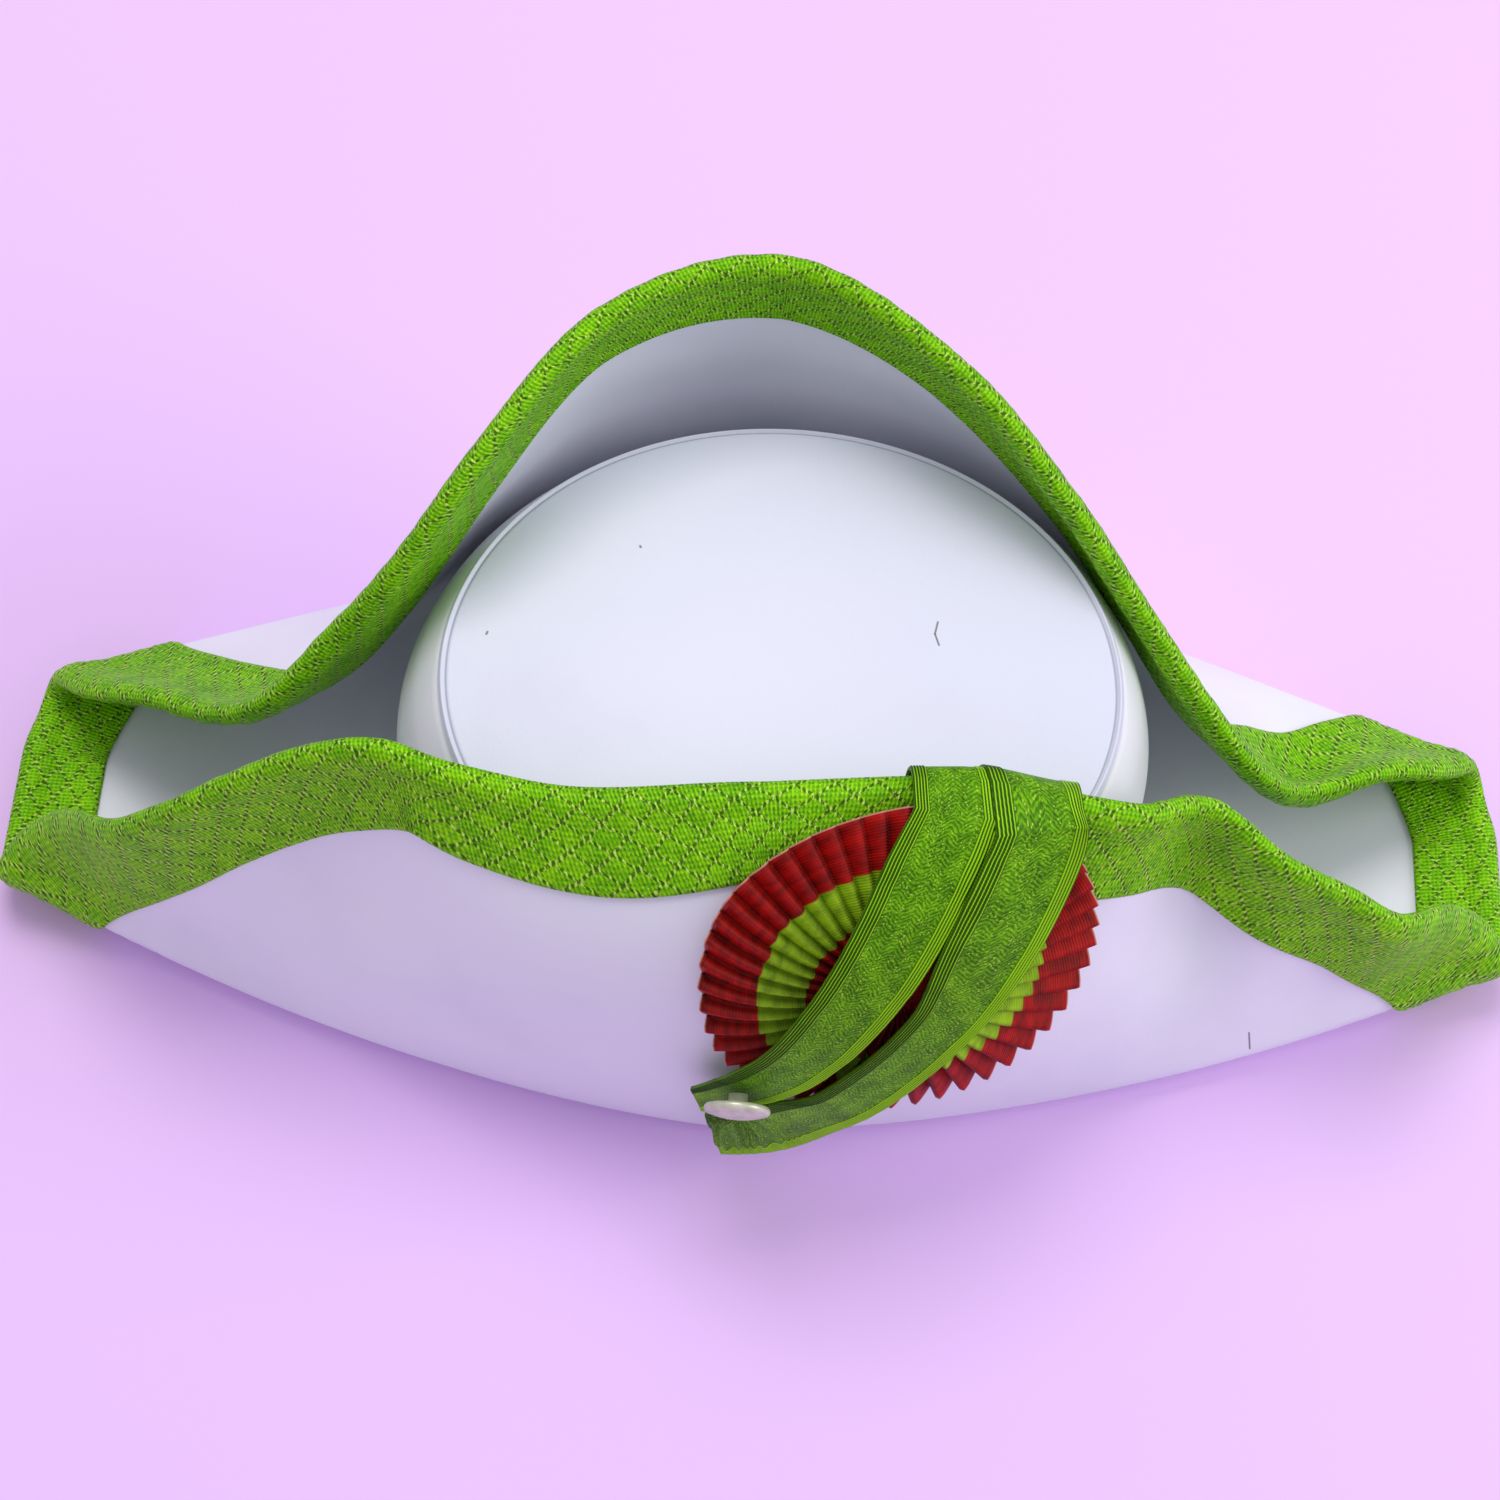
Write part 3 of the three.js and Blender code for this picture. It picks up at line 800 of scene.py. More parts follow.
@dataclass(frozen=True)
class RibbonFinish:
    """Ribbed ribbon in red, lime and red; the uv map runs with the pleats and the radius."""

    lime_band: tuple[float, float] = (23.6, 35.4)
    band_blur: float = 0.25
    selvedge_from: float = 48.45
    crease_shade_from: float = 0.6
    rib: float = 0.7
    cloud_scale: float = 0.35
    relief: float = 0.08
    red: str = "BC0D04"
    deep_red: str = "780502"
    lime: str = "A2D016"
    deep_lime: str = "5E840C"
    selvedge: str = "E2A08F"
    # Painted shade in the creases between the pleats.
    crease_shade: str = "160302"

    def material(self) -> bpy.types.Material:
        """Build the finish: along is counted in pleats and across is the radius.

        The ribbon is painted darker in the creases where each pleat falls before the next, more so
        towards the middle: painted shade.
        """
        graph = Graph("cockade_ribbon_weave")
        pleat, radius = graph.pattern()
        own = graph.dice(graph.combine(pleat.floor(), 0.0)) - 0.5
        turn = pleat % 1.0
        shifted = radius + own * 0.8
        blur = self.band_blur
        past_from, past_to = (shifted.rising(r - blur, r + blur) for r in self.lime_band)
        ribs = radius.waves(self.rib)
        clouds = graph.noise(self.cloud_scale, graph.combine(pleat * 3.0, radius), detail=3.0)
        red = graph.mixed(clouds.rising(0.25, 0.75), self.deep_red, self.red)
        green = graph.mixed(clouds.rising(0.3, 0.9), self.lime, self.deep_lime)
        base = graph.mixed(past_from * (1.0 - past_to), red, green)
        # Painted shade: darker where each pleat falls before the next, more so towards the disc's
        # middle.
        inner = 1.0 - radius.rising(6.0, 46.0) * 0.55
        crease_shade = turn.rising(self.crease_shade_from, 0.78) + (1.0 - turn.rising(0.02, 0.2))
        base = graph.mixed((crease_shade * inner).at_most(1.0) * 0.9, base, self.crease_shade)
        edge = radius.rising(self.selvedge_from, self.selvedge_from + blur)
        base = graph.mixed(edge * 0.8, base, self.selvedge)
        return graph.dress(
            Base_Color=base,
            Roughness=0.5 + ribs * 0.1,
            Normal=graph.bump(ribs + clouds * 0.5, self.relief),
            Specular_IOR_Level=0.2,
        )


@dataclass(frozen=True)
class PearlFinish:
    """Pale pearly button with a soft metallic gloss."""

    pale: str = "DCDDC6"
    cloudy: str = "B3B89C"
    cloud_scale: float = 160.0

    def material(self) -> bpy.types.Material:
        """Build the finish: faint clouds in a pale warm grey."""
        graph = Graph("pearl_button")
        clouds = graph.noise(self.cloud_scale, graph.place(), detail=3.0)
        return graph.dress(
            Base_Color=graph.mixed(clouds.rising(0.3, 0.7), self.pale, self.cloudy),
            Metallic=0.3,
            Roughness=0.3 + clouds * 0.1,
            Coat_Weight=0.3,
            Coat_Roughness=0.15,
        )


Finish = SmoothCover | EdgeLaceFinish | LoopLaceFinish | RibbonFinish | PearlFinish


# The hat's pieces

class Held(Enum):
    """How a sheet of cloth is held."""

    FOLDED = "folded"
    GATHERED = "gathered"
    STRETCHED = "stretched"


@dataclass(frozen=True)
class Cut:
    """A sheet's flat width and length in metres, its area where it isn't a rectangle."""

    flat: tuple[float, float]
    held: Held
    rests_on: tuple[str, ...]
    area: float | None = None

    def declare(self, piece: bpy.types.Object) -> None:
        """Do nothing with the piece: the sheet is not declared."""


@dataclass(frozen=True)
class Piece:
    """A piece's name, its material slot, the CAD node that it replaces and its cut."""

    name: str
    slot: str
    node: str
    cut: Cut | None = None

    def make(self, shell: Shell, where: PartFrame, finish: Finish) -> bpy.types.Object:
        """Build the piece, dress it, let it ride and hide the CAD node that it replaces.

        Args:
            shell: Its surface.
            where: The part's frame.
            finish: Its finish.

        Returns:
            The piece.
        """
        piece = shell.build(self.name, where)
        piece.data.materials.append(finish.material())
        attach(piece, BODY)
        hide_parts(self.node)
        if self.cut:
            self.cut.declare(piece)
        return piece


@dataclass
class BrimCover:
    """The white covered sheet with the head opening and its two turned-up flaps."""

    where: PartFrame
    finish: SmoothCover
    opening: tuple[float, float] = (99.4, 83.9)
    lace_width: float = 22.0
    floor_rows: int = 12
    fold_rows: int = 9
    flap_rows: int = 34
    lace_rows: int = 5
    tries: int = 200
    latest_fold: float = 0.7
    longest_span: float = 0.2
    fold_span: float = 22.0
    piece: Piece = Piece(
        "brim_cover",
        "white_cover",
        "brim",
        Cut((0.44, 0.484), Held.FOLDED, ("crown_side_cover",), area=0.124),
    )

    def lines(self) -> tuple[Array, Array]:
        """Lay lines across the flat brim, from the head opening to the rim.

        Each line runs straight from the opening's oval to the lace's inner edge, with
        its rows drawn together where the sheet folds up, and on to the rim.

        Returns:
            Flat places (stations, rows, 2) and the stations (stations, 2).
        """
        stations, inward = Rim(BRIM, flap_steps=210, corner_steps=8, end_steps=24).places()
        angle = np.arctan2(stations[:, 1], stations[:, 0])
        start = np.stack([np.cos(angle), np.sin(angle)], axis=-1) * self.opening
        way = stations + inward * self.lace_width - start
        share = np.linspace(0, 1, self.tries)
        tried = start[:, None] + way[:, None] * share[None, :, None]
        on_floor = np.abs(tried[..., 1]) < BRIM.fold_start(tried[..., 0], tried[..., 1])
        fold = np.minimum(on_floor.sum(axis=1, keepdims=True) / self.tries, self.latest_fold)
        length = np.linalg.norm(way, axis=1, keepdims=True)
        span = np.minimum(self.fold_span / length, self.longest_span)
        rows = [
            fold * np.linspace(0, 1, self.floor_rows, endpoint=False),
            fold + span * np.linspace(0, 1, self.fold_rows, endpoint=False),
            fold + span + (1 - fold - span) * np.linspace(0, 1, self.flap_rows),
        ]
        cloth = start[:, None] + way[:, None] * np.concatenate(rows, axis=1)[..., None]
        under = np.linspace(self.lace_width, 0, self.lace_rows + 1)[1:]
        laced = stations[:, None] + inward[:, None] * under[None, :, None]
        return np.concatenate([cloth, laced], axis=1), stations

    def build(self) -> bpy.types.Object:
        """Carry a thin closed section along the lines and dress it."""
        flat, stations = self.lines()
        half = BRIM.thickness / 2
        x, w = flat[..., 0], flat[..., 1]
        outer, inner = BRIM.off(x, w, half), BRIM.off(x, w, -half)
        points = np.concatenate([outer, inner[:, ::-1]], axis=1)
        across = path_length(points[0])
        shell = Shell(points, path_length(closed(stations)), np.append(across, across[-1] + 2 * half))
        return self.piece.make(shell, self.where, self.finish)


@dataclass
class EdgeLace:
    """The lace folded over the brim's edge, padded along it, with selvedge cords."""

    where: PartFrame
    finish: EdgeLaceFinish
    width: float = 22.0
    gap: float = 0.35
    thickness: float = 1.0
    bead: float = 3.6
    bead_reach: float = 2.4
    bead_foot: float = 8.2
    bead_top: float = 2.2
    swell_from: float = 7.4
    flat_rows: int = 26
    swell_rows: int = 7
    tip_rows: int = 8
    tip_from_degrees: float = 80.0
    lining_at: tuple[float, ...] = (14.0, 7.0, 2.0)
    lining_turn: float = 0.6
    selvedge_steps: int = 2
    cords: int = 3
    cord_pitch: float = 1.35
    cord_rise: float = 0.35
    quilt_rise: float = 0.3
    quilt_power: float = 0.6
    quilt_fade: tuple[float, float] = (-0.5, 2.0)
    smooth_tip: float = 0.2
    piece: Piece = Piece(
        "edge_lace_strip",
        "green_edge_lace",
        "edge_lace",
        Cut((0.058, 1.28), Held.FOLDED, ("brim_cover",)),
    )

    def skin(self) -> Array:
        """Half of the outer section, from the lace's free edge up over the bead's tip.

        The skin lies flat, then swells to the bead as a smooth step, and ends on a
        quarter oval round the rim.

        Returns:
            Rows (distance in from the rim, height off the middle surface).
        """
        low, top = BRIM.thickness / 2 + self.gap + self.thickness, self.bead_top
        free = np.linspace(self.width, self.bead_foot, self.flat_rows)
        swell = np.linspace(self.swell_from, top, self.swell_rows)
        lift = low + (self.bead - low) * (1 - smooth_step(top, self.bead_foot, swell))
        angle = np.radians(np.linspace(self.tip_from_degrees, 0, self.tip_rows))
        tip = (top - (top + self.bead_reach) * np.cos(angle), self.bead * np.sin(angle))
        parts = ((free, np.full(len(free), low)), (swell, lift), tip)
        return np.concatenate([np.stack(part, axis=-1) for part in parts])

    def section(self) -> Array:
        """The whole closed section: outer skin on both faces, then the lining back."""
        skin = self.skin()
        inner = BRIM.thickness / 2 + self.gap
        lying = [(distance, inner) for distance in (self.width, *self.lining_at)]
        lining = np.array([*lying, (-self.gap, inner * self.lining_turn)])
        first = round_end(self.width, -(inner + self.thickness), -inner, self.selvedge_steps)
        last = round_end(self.width, inner, inner + self.thickness, self.selvedge_steps)
        other = skin[-2::-1] * (1, -1)
        return np.concatenate([skin, other, first, lining * (1, -1), lining[::-1], last])

    def relief(self, along: Array, row_way: Array, distance: Array, side: Array) -> Array:
        """Height of the quilting and the selvedge cords above the plain skin.

        The cords are half sine ridges along the free edge. The quilting is the product
        of two cosines along the two diagonals of the diamonds, which is highest in each
        diamond's middle and lowest on the trellis.

        Args:
            along: Way along the rim, for each station.
            row_way: Way across the lace, for each row.
            distance: Distance in from the rim, for each row.
            side: Height off the middle surface, for each row.

        Returns:
            Heights (stations, rows).
        """
        shown = np.abs(side) > BRIM.thickness / 2 + self.gap + self.thickness / 2
        band = self.cords * self.cord_pitch
        from_edge = self.width - distance
        ridges = self.cord_rise * np.abs(np.sin(np.pi * from_edge / self.cord_pitch))
        cord = np.where(shown & (from_edge < band), ridges, 0.0)
        a = along[:, None] / self.finish.lozenge[0]
        b = row_way[None, :] / self.finish.lozenge[1]
        quilt = np.abs(np.cos(np.pi * (a + b)) * np.cos(np.pi * (a - b))) ** self.quilt_power
        near, far = (band + reach for reach in self.quilt_fade)
        quilted = shown & (np.abs(side) >= self.bead * self.smooth_tip)
        fade = np.where(quilted, smooth_step(near, far, from_edge), 0.0)
        return cord + self.quilt_rise * (quilt - 0.5) * fade

    def build(self) -> bpy.types.Object:
        """Carry the section round the rim, add the relief along the normals and dress it."""
        stations, inward = Rim(BRIM).places()
        section = self.section()
        distance, side = section[:, 0], section[:, 1]
        flat = stations[:, None] + inward[:, None] * distance[None, :, None]
        rim = BRIM.point(stations[:, 0], stations[:, 1])
        along = path_length(closed(rim))
        round_way = path_length(closed(section))
        tip = len(self.skin()) - 1
        row_way = round_way - round_way[tip]
        relief = self.relief(along[:-1], row_way[:-1], distance, side)
        relief[:, 2 * tip + 1 :] = 0.0
        spread = np.concatenate([section[-1:], section, section[:1]])
        tangent = unit(spread[2:] - spread[:-2])
        flat = flat + inward[:, None] * (tangent[:, 1] * relief)[..., None]
        points = BRIM.off(flat[..., 0], flat[..., 1], side - tangent[:, 0] * relief)
        return self.piece.make(Shell(points, along, row_way), self.where, self.finish)


@dataclass(frozen=True)
class CrownSizes:
    """The crown's shape: levels (z, half length, half depth) of its side, and its top."""

    levels: tuple = (
        (2.75, 102.0, 86.5),
        (25.0, 104.5, 88.5),
        (50.0, 106.0, 90.0),
        (70.0, 105.5, 89.5),
        (86.0, 101.0, 86.0),
        (94.0, 96.5, 82.6),
        (98.2, 93.3, 80.0),
    )
    wall: float = 2.2
    height: float = 98.2
    lean_sideways: float = 4.0
    gap: float = 0.35
    tip_thickness: float = 2.0
    tip_rise: float = 3.2

    def top(self, x: float, y: float) -> Array:
        """The place on the top panel above (x, y): z = base + thickness + rise (1 - r^2)."""
        _, a, b = self.levels[-1]
        square = ((x - self.lean_sideways) / a) ** 2 + (y / b) ** 2
        rim = self.height + self.gap + self.tip_thickness
        return np.array([x, y, rim + self.tip_rise * (1 - square)])


@dataclass
class Crown:
    """The oval crown: an upright side and a top panel, sewn along a fine raised seam.

    ridge and groove are (height, distance in from the rim, half width) of the seam.
    """

    where: PartFrame
    side_finish: SmoothCover
    tip_finish: SmoothCover
    sizes: CrownSizes = CrownSizes()
    steps: int = 240
    rows: int = 44
    girth: float = 600.0
    ridge: tuple[float, float, float] = (0.5, 0.9, 0.42)
    groove: tuple[float, float, float] = (-0.3, 1.9, 0.35)
    edge_drop: float = 1.0
    edge_round: float = 0.7
    lower_rim: float = 0.9
    dome_rows: int = 30
    rim_rows: int = 26
    rim_shares: tuple[float, float] = (0.95, 0.955)
    inner_row_step: int = 3
    side_turn: tuple[float, float, float] = (-0.6, -0.6, 0.02)
    side_piece: Piece = Piece(
        "crown_side_cover",
        "white_cover",
        "crown_side",
        Cut((0.1, 0.61), Held.STRETCHED, ("brim_cover",)),
    )
    tip_piece: Piece = Piece(
        "crown_top_cover",
        "white_cover",
        "crown_tip",
        Cut((0.16, 0.187), Held.STRETCHED, ("crown_side_cover",), area=0.0235),
    )

    def turned(self, section: Array, poles: bool = False) -> Shell:
        """Carry a section of rows (a, b, z, shift) round: x = shift + a cos t, y = b sin t."""
        t = np.linspace(0, 2 * np.pi, self.steps, endpoint=False)[:, None]
        a, b, z, shift = section.T
        x = shift + a * np.cos(t)
        points = np.stack([x, b * np.sin(t), np.broadcast_to(z, x.shape)], axis=-1)
        along = np.linspace(0, self.girth, self.steps + 1)
        return Shell(points, along, path_length(closed(points[0])), poles=poles)

    def side(self) -> bpy.types.Object:
        """Build the side wall: the levels' smooth curve, its inner face and rounded edges."""
        sizes = self.sizes
        levels = np.array(sizes.levels)
        z = np.linspace(levels[0, 0], sizes.height, self.rows)
        a, b = (smooth_between(levels[:, 0], levels[:, k], z) for k in (1, 2))
        outer = np.stack([a, b, z], axis=-1)
        inner = (outer - (sizes.wall, sizes.wall, 0))[::-1][:: self.inner_row_step]
        section = np.concatenate([outer, outer[-1:] + self.side_turn, inner])
        shift = sizes.lean_sideways * section[:, 2:] / sizes.height
        shell = self.turned(np.concatenate([section, shift], axis=1))
        return self.side_piece.make(shell, self.where, self.side_finish)

    def tip(self) -> bpy.types.Object:
        """Build the top panel: z = base + rise (1 - r^2), with a raised rim where it is sewn.

        The ridge and the groove along its inner side are bell curves,
        height * exp(-((from_rim - middle) / width)^2).

        Returns:
            The piece.
        """
        sizes = self.sizes
        base = sizes.height + sizes.gap
        last, first = self.rim_shares
        rows = np.linspace(0.0, last, self.dome_rows), np.linspace(first, 1.0, self.rim_rows)
        share = np.concatenate(rows)
        from_rim = (1 - share) * sizes.levels[-1][2]
        top = base + sizes.tip_thickness + sizes.tip_rise * (1 - share**2)
        for height, middle, width in (self.ridge, self.groove):
            top = top + height * np.exp(-(((from_rim - middle) / width) ** 2))
        top = top - self.edge_drop * smooth_step(self.edge_round, 0.0, from_rim)
        under = base + sizes.tip_rise * (1 - share[::-1] ** 2)
        radii = np.concatenate([share, [1.0], share[::-1]])
        heights = np.concatenate([top, [base + self.lower_rim], under])
        _, a, b = sizes.levels[-1]
        shift = np.full(len(radii), sizes.lean_sideways)
        section = np.stack([a * radii, b * radii, heights, shift], axis=-1)
        return self.tip_piece.make(self.turned(section, poles=True), self.where, self.tip_finish)

    def build(self) -> list[bpy.types.Object]:
        """Build the side and the top panel."""
        return [self.side(), self.tip()]


def chain_of_marks(where: PartFrame, points: list[Array], width_mm: float) -> tuple[Mark, ...]:
    """Marks that join a line of places on a face, given in the hat's millimetres."""
    placed = [tuple(float(v) for v in where.place(point)) for point in points]
    return tuple(Mark(start, end, width_mm) for start, end in zip(placed, placed[1:]))


def crown_marks(where: PartFrame) -> tuple[Mark, ...]:
    """A short curved scratch and two specks on the crown's top."""
    scratch = ((45.8, 18.5), (45.1, 14.7), (46.3, 11.3))
    specks = ((-37.2, 37.0), (-37.0, 36.6)), ((-76.7, 7.6), (-76.9, 6.9))
    marks = ()
    for line, width_mm in ((scratch, 0.5), (specks[0], 0.6), (specks[1], 0.6)):
        marks += chain_of_marks(where, [CrownSizes().top(x, y) for x, y in line], width_mm)
    return marks


def flap_marks(where: PartFrame) -> tuple[Mark, ...]:
    """A short scratch near the right end of the front flap."""
    half = np.array(BRIM.thickness / 2)
    line = [BRIM.off(np.array(x), np.array(w), half) for x, w in ((143.8, -81.0), (145.5, -72.0))]
    return chain_of_marks(where, line, 0.5)


@dataclass
class Cockade:
    """The striped ribbon, pleated into a disc that follows the front flap."""

    where: PartFrame
    finish: RibbonFinish
    x: float = 37.9
    w: float = -183.7
    thread_slope: float = 0.217
    radius: float = 48.9
    hole: float = 4.0
    pleats: int = 48
    pleat_depth: float = 4.8
    ribbon: float = 0.5
    stand_off: float = 4.1
    pleat_steps: int = 10
    rows: int = 22
    fall_share: float = 0.26
    crest_lean: float = 0.18
    crest_span: tuple[float, float] = (0.5, 0.8)
    piece: Piece = Piece(
        "cockade_pleats",
        "striped_ribbon",
        "cockade_ribbon",
        Cut((0.045, 0.4), Held.GATHERED, ("brim_cover", "edge_lace_strip")),
    )

    def build(self) -> bpy.types.Object:
        """Lay sawtooth pleats round the middle and dress them.

        Round each pleat the ribbon climbs in a straight line and falls steeply over the
        last share of it, with the crest leaning over; the height grows in line with the
        radius.

        Returns:
            The piece.
        """
        turn = np.arange(self.pleats * self.pleat_steps)[:, None] / self.pleat_steps
        share = turn % 1.0
        height = np.clip(np.minimum(share / (1 - self.fall_share), (1 - share) / self.fall_share), 0, 1)
        start, full = self.crest_span
        crest = smooth_step(start, 1, share) * smooth_step(1, full, share)
        angle = 2 * np.pi * (turn + self.crest_lean * crest) / self.pleats
        r = np.linspace(self.hole, self.radius, self.rows)
        x = self.x + r * np.cos(angle)
        w = self.w + r * (np.sin(angle) + self.thread_slope * np.cos(angle))
        lift = self.stand_off + height * self.pleat_depth * r / self.radius
        lower, upper = BRIM.off(x, w, lift), BRIM.off(x, w, lift + self.ribbon)
        points = np.concatenate([upper, lower[:, ::-1]], axis=1)
        shell = Shell(points, np.append(turn, self.pleats), np.concatenate([r, r[::-1], r[:1]]))
        return self.piece.make(shell, self.where, self.finish)


# Each row of a strip: x, w, its stand-off, its width, and how far the section is
# turned from square to the middle line, in degrees.

LEFT_STRIP = (
    (47.6, -227, 10.8, 22.8, 0),
    (42.6, -217.5, 10.8, 25.2, 0),
    (37, -207, 10.8, 24.4, 0),
    (29.8, -194.6, 10.8, 23.2, 0),
    (22, -182.8, 10.8, 21.4, 0),
    (14.8, -172.6, 11, 20.2, 0),
    (7.8, -163.6, 10.9, 19.6, 0),
    (0.2, -154.6, 9.8, 16.6, 10),
    (-11, -143, 8.4, 13, 33),
)

RIGHT_STRIP = (
    (70.3, -212.6, 11.6, 26.6, 0),
    (67.8, -207, 11.4, 27.2, 0),
    (62.9, -197.6, 11, 26.6, 0),
    (57.1, -187.2, 10.8, 25.4, 0),
    (50.6, -176.2, 10.8, 22.8, 0),
    (43.7, -167.4, 10.8, 22.4, 0),
    (35.7, -156.8, 10.8, 22.8, 0),
    (25.8, -144.8, 10.9, 23.4, 0),
    (15.1, -135.4, 9.8, 29.4, 8),
    (3, -123.2, 9, 37.2, 23),
    (-6.4, -116.5, 8.6, 36.2, 28),
)

# How a strip turns over the flap's edge: how far beyond it, and the stand-off.
TUCK = (
    (-12, -4),
    (0, -4.8),
    (3.2, -3.6),
    (4.3, 0),
    (3.6, 4.8),
    (0, 8.6),
)

LOOP_RESTS_ON = ("edge_lace_strip", "cockade_pleats")


@dataclass
class LoopStrip:
    """One strip of the lace loop, from behind the edge down to the button."""

    where: PartFrame
    finish: LoopLaceFinish
    piece: Piece
    rows: tuple
    thickness: float = 1.2
    cords: int = 5
    cord_steps: int = 4
    cord_band: float = 0.36
    cord_rise: float = 0.3
    middle_steps: int = 12
    pattern_half_width: float = 12.1
    tuck_steps: int = 40
    step: float = 0.55
    overlap: float = 0.0
    overlap_reach: float = 46.0
    lift: float = 0.0
    gather_rise: float = 0.0
    gather_reach: float = 30.0
    gather_full: float = 7.5
    gather_pitch: float = 2.9
    gather_fan: float = 0.22
    gather_skew: float = 1.7
    wobble: float = 1.1
    wobble_rate: float = 0.55
    wobble_skew: float = 2.6

    def centre_line(self) -> tuple[Array, Array, Array, Array]:
        """Sample the lying part's middle line on a smooth curve through its rows.

        Returns:
            Flat places (n, 2), stand-offs (n), widths (n) and unit across directions (n, 2).
        """
        rows = np.array(self.rows, float)
        way = path_length(rows[:, :2])
        at = np.linspace(0, way[-1], int(way[-1] / self.step))
        x, w, stand, width, turn = (smooth_between(way, column, at) for column in rows.T)
        line = np.stack([x, w], axis=-1)
        along = unit(np.gradient(line, axis=0))
        cos, sin = np.cos(np.radians(turn)), np.sin(np.radians(turn))
        across = (-along[:, 1] * cos - along[:, 0] * sin, -along[:, 1] * sin + along[:, 0] * cos)
        return line, stand, width, np.stack(across, axis=-1)

    def tuck(self) -> tuple[Array, Array]:
        """Sample the turned part: places beyond the edge and stand-offs, with normals.

        Returns:
            Rows (beyond, stand_off) and their unit normals.
        """
        rows = np.array(TUCK, float)
        way = path_length(rows)
        at = np.linspace(0, way[-1], self.tuck_steps, endpoint=False)
        line = np.stack([smooth_between(way, column, at) for column in rows.T], axis=-1)
        along = unit(np.gradient(line, axis=0))
        return line, np.stack([along[:, 1], -along[:, 0]], axis=-1)

    def profile(self) -> tuple[Array, Array]:
        """The strip's section: shares of its half width and heights, upper face then lower.

        The cords are half sine ridges along both sides.

        Returns:
            Across shares from -1 to 1 and heights off the strip's middle surface.
        """
        band, half = self.cord_band, self.thickness / 2
        cord = np.linspace(0, band, self.cord_steps * self.cords + 1)
        ridge = self.cord_rise * np.abs(np.sin(np.pi * self.cords * cord / band))
        inner = np.linspace(-(1 - band), 1 - band, self.middle_steps)[1:-1]
        across = np.concatenate([-1 + cord, inner, 1 - cord[::-1]])
        rise = np.concatenate([ridge, np.zeros(len(inner)), ridge[::-1]]) + half - self.cord_rise
        under = np.full(len(across), -half)
        return np.concatenate([across, across[::-1]]), np.concatenate([rise, under])

    def gathers(self, line: Array, share: Array) -> Array:
        """Height of the small folds at the button's end, for each place and share.

        They are sine ridges across the strip that fan out, with a slow wobble. They fade
        out over the reach as a smooth step, and towards both edges as 1 - share^4.

        Args:
            line: Flat places of the middle line.
            share: Shares of the half width.

        Returns:
            Heights (places, shares).
        """
        way = path_length(line)
        left = (way[-1] - way)[:, None]
        wobble = self.wobble * np.sin(left * self.wobble_rate + self.wobble_skew * share)
        fan = left * (1.0 + self.gather_fan * share) + wobble
        ridge = np.sin(2 * np.pi * fan / self.gather_pitch + self.gather_skew * share)
        fade = smooth_step(self.gather_reach, self.gather_full, left)
        return self.gather_rise * ridge * (1 - share**4) * fade

    def build(self) -> bpy.types.Object:
        """Carry the section over the edge and down the flap, and dress the strip."""
        share, rise = self.profile()
        line, stand, width, sideways = self.centre_line()
        turned, out = self.tuck()
        sideways = sideways * np.sign(sideways[0, 0])
        over = smooth_step(self.overlap_reach, self.overlap_reach / 2, path_length(line))[:, None]
        across = share * width[:, None] / 2 - self.overlap * over * (1 - share) / 2
        tuck_x = np.repeat(line[0, 0] + sideways[0, 0] * across[:1], len(turned), axis=0)
        raised = turned[..., None] + out[..., None] * (rise + self.lift)
        past, tuck_stand = raised[:, 0], raised[:, 1]
        tuck_w = -BRIM.rim_distance(tuck_x, Side.FRONT) - past
        x = np.concatenate([tuck_x, line[:, :1] + sideways[:, :1] * across])
        w = np.concatenate([tuck_w, line[:, 1:] + sideways[:, 1:] * across])
        lying = stand[:, None] + rise + self.lift * over + self.gathers(line, share)
        points = BRIM.off(x, w, np.concatenate([tuck_stand, lying]))
        measured = len(share) // 3
        along = path_length(points[:, measured])
        pattern = np.append(along, along[-1]), closed(share) * self.pattern_half_width
        return self.piece.make(Shell(points, *pattern, ring=False), self.where, self.finish)


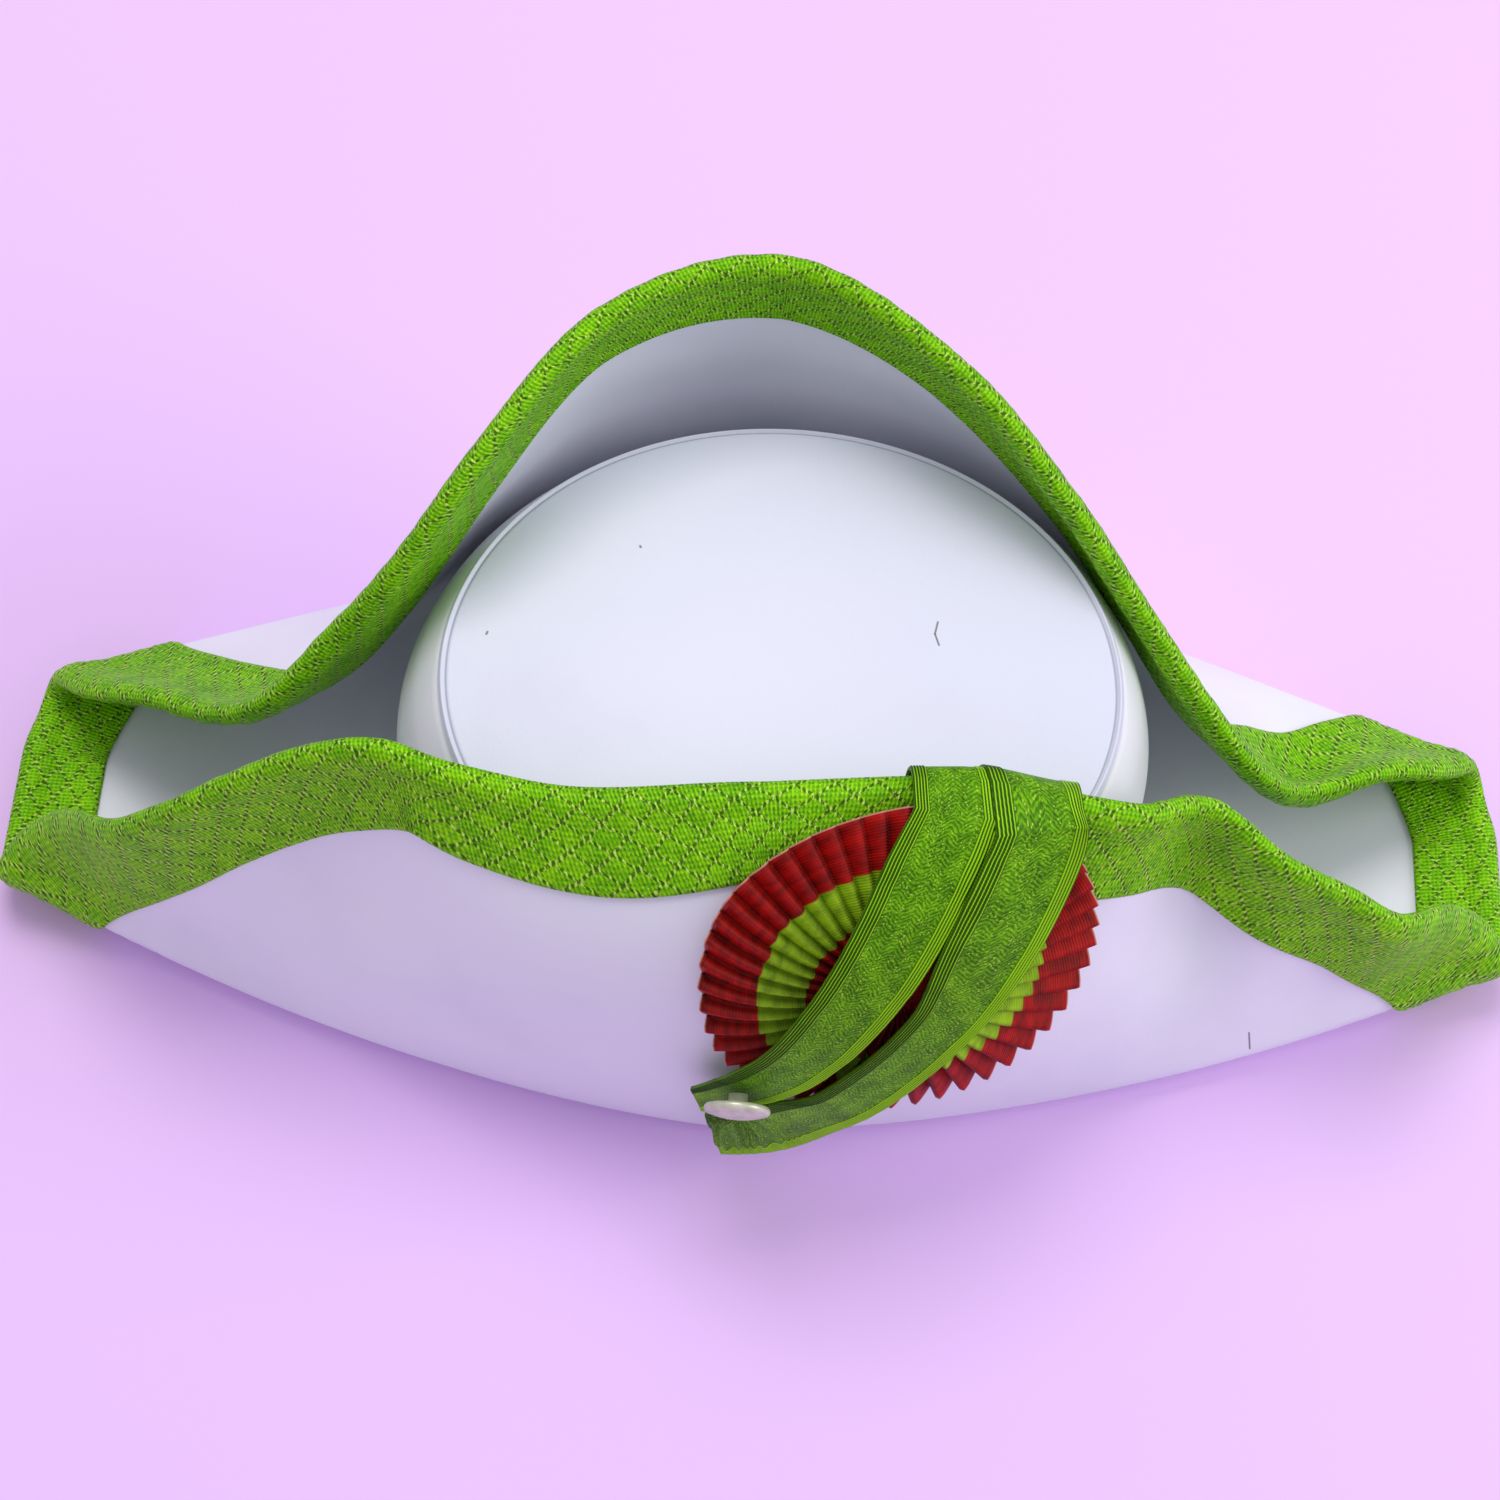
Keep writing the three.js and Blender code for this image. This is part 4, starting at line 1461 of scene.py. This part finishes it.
@dataclass
class Button:
    """The pale domed button on its short shank."""

    where: PartFrame
    finish: PearlFinish
    x: float = -0.3
    w: float = -155.5
    radius: float = 8.9
    tilt_degrees: float = 16.0
    thickness: float = 2.2
    rim: float = 0.9
    rim_steps: int = 9
    rim_degrees: float = 80.0
    dome: float = 1.4
    dome_steps: int = 12
    dome_from: float = 0.86
    dome_share: float = 0.9
    back_share: float = 0.6
    shank: float = 2.6
    shank_top: float = -0.02
    shank_foot: float = 11.1
    stand_off: float = 14.2
    steps: int = 64
    girth: float = 60.0
    piece: Piece = Piece("button_disc", "pearly_button", "button")

    def profile(self) -> Array:
        """The button's outline from the shank's foot round the rim to the dome's top."""
        r, half = self.radius, self.thickness / 2
        foot = self.shank_foot - self.stand_off
        angle = np.radians(np.linspace(-self.rim_degrees, self.rim_degrees, self.rim_steps))
        rim = (r - self.rim + self.rim * np.cos(angle), half + half * np.sin(angle))
        share = np.linspace(self.dome_from, 0.0, self.dome_steps)
        face = (share * r, 2 * half + self.dome * (1 - (share / self.dome_share) ** 2))
        stem = [(0.0, foot), (self.shank, foot), (self.shank, self.shank_top)]
        start = [*stem, (r * self.back_share, 0.0)]
        return np.concatenate([start, np.stack(rim, axis=-1), np.stack(face, axis=-1)])

    def build(self) -> bpy.types.Object:
        """Turn the outline about the flap's outward direction and dress the button."""
        profile = self.profile()
        x, w = np.array(self.x), np.array(self.w)
        tilt = Matrix.Rotation(math.radians(self.tilt_degrees), 3, "X")
        facing = np.array(tilt @ Vector(BRIM.normal(x, w)))
        first = unit(np.cross(facing, (1.0, 0.0, 0.0)))
        second = np.cross(facing, first)
        t = np.linspace(0, 2 * np.pi, self.steps, endpoint=False)[:, None]
        spoke = np.cos(t) * first + np.sin(t) * second
        centre = BRIM.off(x, w, np.array(self.stand_off))
        points = centre + spoke[:, None] * profile[None, :, :1] + facing * profile[None, :, 1:]
        along = np.linspace(0, self.girth, self.steps + 1)
        shell = Shell(points, along, path_length(closed(profile)), poles=True)
        return self.piece.make(shell, self.where, self.finish)


# The studio

@dataclass(frozen=True)
class Camera:
    """The viewpoint: high in front of the hat, turned a little about its line of sight."""

    where: PartFrame
    position: tuple[float, float, float] = (0.0, -359.2, 770.4)
    target: tuple[float, float, float] = (-3.7, 27.5, 0.0)
    turn_degrees: float = 3.1
    lens: float = 67.2
    sensor: float = 36.0

    def build(self) -> None:
        """Make the camera and set it as the scene's."""
        data = bpy.data.cameras.new("viewpoint")
        data.lens = self.lens
        data.sensor_width = self.sensor
        camera = bpy.data.objects.new("viewpoint", data)
        bpy.context.scene.collection.objects.link(camera)
        position = Vector(self.where.place(np.array(self.position)))
        target = Vector(self.where.place(np.array(self.target)))
        look = (target - position).to_track_quat("-Z", "Y").to_matrix().to_4x4()
        roll = Matrix.Rotation(math.radians(self.turn_degrees), 4, "Z")
        camera.matrix_world = Matrix.Translation(position) @ look @ roll
        bpy.context.scene.camera = camera


@dataclass(frozen=True)
class Lamp:
    """A soft rectangular lamp that looks at the hat."""

    name: str
    place: tuple[float, float, float]
    size: float
    power: float
    tint: str
    target: tuple[float, float, float] = (0.0, 0.0, 0.05)

    def build(self) -> None:
        """Make the lamp, facing the hat's middle."""
        data = bpy.data.lights.new(self.name, "AREA")
        data.shape = "SQUARE"
        data.size = self.size
        data.energy = self.power
        data.color = colour(self.tint)
        lamp = bpy.data.objects.new(self.name, data)
        bpy.context.scene.collection.objects.link(lamp)
        lamp.location = self.place
        aim = Vector(self.target) - Vector(self.place)
        lamp.rotation_euler = aim.to_track_quat("-Z", "Y").to_euler()


@dataclass(frozen=True)
class Studio:
    """The pale floor, the lamps and the even light round the hat."""

    floor_half: float = 6.0
    floor_colour: str = "EFC8FE"
    floor_cloud: str = "DCC0FE"
    cloud_scale: float = 2.0
    cloud_share: float = 0.25
    floor_roughness: float = 0.85
    sky: str = "F1EEFA"
    sky_strength: float = 0.63
    lamps: tuple[Lamp, ...] = (
        Lamp("key_lamp", (-0.2, 0.75, 2.0), 1.0, 19.0, "FFFDF8"),
        Lamp("fill_lamp", (1.5, -0.1, 0.9), 1.0, 11.0, "FCFFFA"),
    )

    def build(self) -> None:
        """Make the floor, the lamps and the world."""
        h = self.floor_half
        mesh = bpy.data.meshes.new("floor")
        mesh.from_pydata([(-h, -h, 0), (h, -h, 0), (h, h, 0), (-h, h, 0)], [], [(0, 1, 2, 3)])
        floor = bpy.data.objects.new("floor", mesh)
        bpy.context.scene.collection.objects.link(floor)
        graph = Graph("floor_paper")
        clouds = graph.noise(self.cloud_scale, graph.place())
        base = graph.mixed(clouds * self.cloud_share, self.floor_colour, self.floor_cloud)
        mesh.materials.append(graph.dress(Base_Color=base, Roughness=self.floor_roughness))
        for lamp in self.lamps:
            lamp.build()
        world = bpy.data.worlds.new("studio")
        world.use_nodes = True
        background = world.node_tree.nodes["Background"]
        background.inputs["Color"].default_value = (*colour(self.sky), 1.0)
        background.inputs["Strength"].default_value = self.sky_strength
        bpy.context.scene.world = world
        bpy.context.scene.view_settings.view_transform = "Standard"


def main() -> None:
    """Build the studio and then the hat's pieces in order, and report each one."""
    where = PartFrame.found()
    Camera(where).build()
    Studio().build()
    left, right = (
        Piece(
            f"loop_{side}_lace",
            "green_loop_lace",
            f"loop_{side}_strip",
            Cut(flat, Held.FOLDED, LOOP_RESTS_ON),
        )
        for side, flat in (("left", (0.025, 0.132)), ("right", (0.03, 0.156)))
    )
    makers = (
        BrimCover(where, SmoothCover("brim_leather_cloth", "E9E9F6", "D3D4E6", flap_marks(where))),
        EdgeLace(where, EdgeLaceFinish()),
        # The three covers are one white cloth; the top panel's copy is painted darker, painted shade
        # against the stronger light on the top.
        Crown(
            where,
            SmoothCover("crown_side_leather_cloth", "ECEDF5", "D9DAE8"),
            # The top panel's cloth carries a dark line of painted shade along the seam's groove.
            SmoothCover("crown_top_leather_cloth", marks=crown_marks(where), seam_groove_shade_at=91.2),
        ),
        Cockade(where, RibbonFinish()),
        LoopStrip(where, LoopLaceFinish(), left, LEFT_STRIP),
        LoopStrip(
            where, LoopLaceFinish(), right, RIGHT_STRIP, overlap=2.2, lift=0.7, gather_rise=0.85
        ),
        Button(where, PearlFinish()),
    )
    for maker in makers:
        made = maker.build()
        for piece in made if isinstance(made, list) else [made]:
            LOG.info("%s: %d faces", piece.name, len(piece.data.polygons))


if __name__ == "__main__":
    logging.basicConfig(level=logging.INFO, format="%(message)s")
    main()
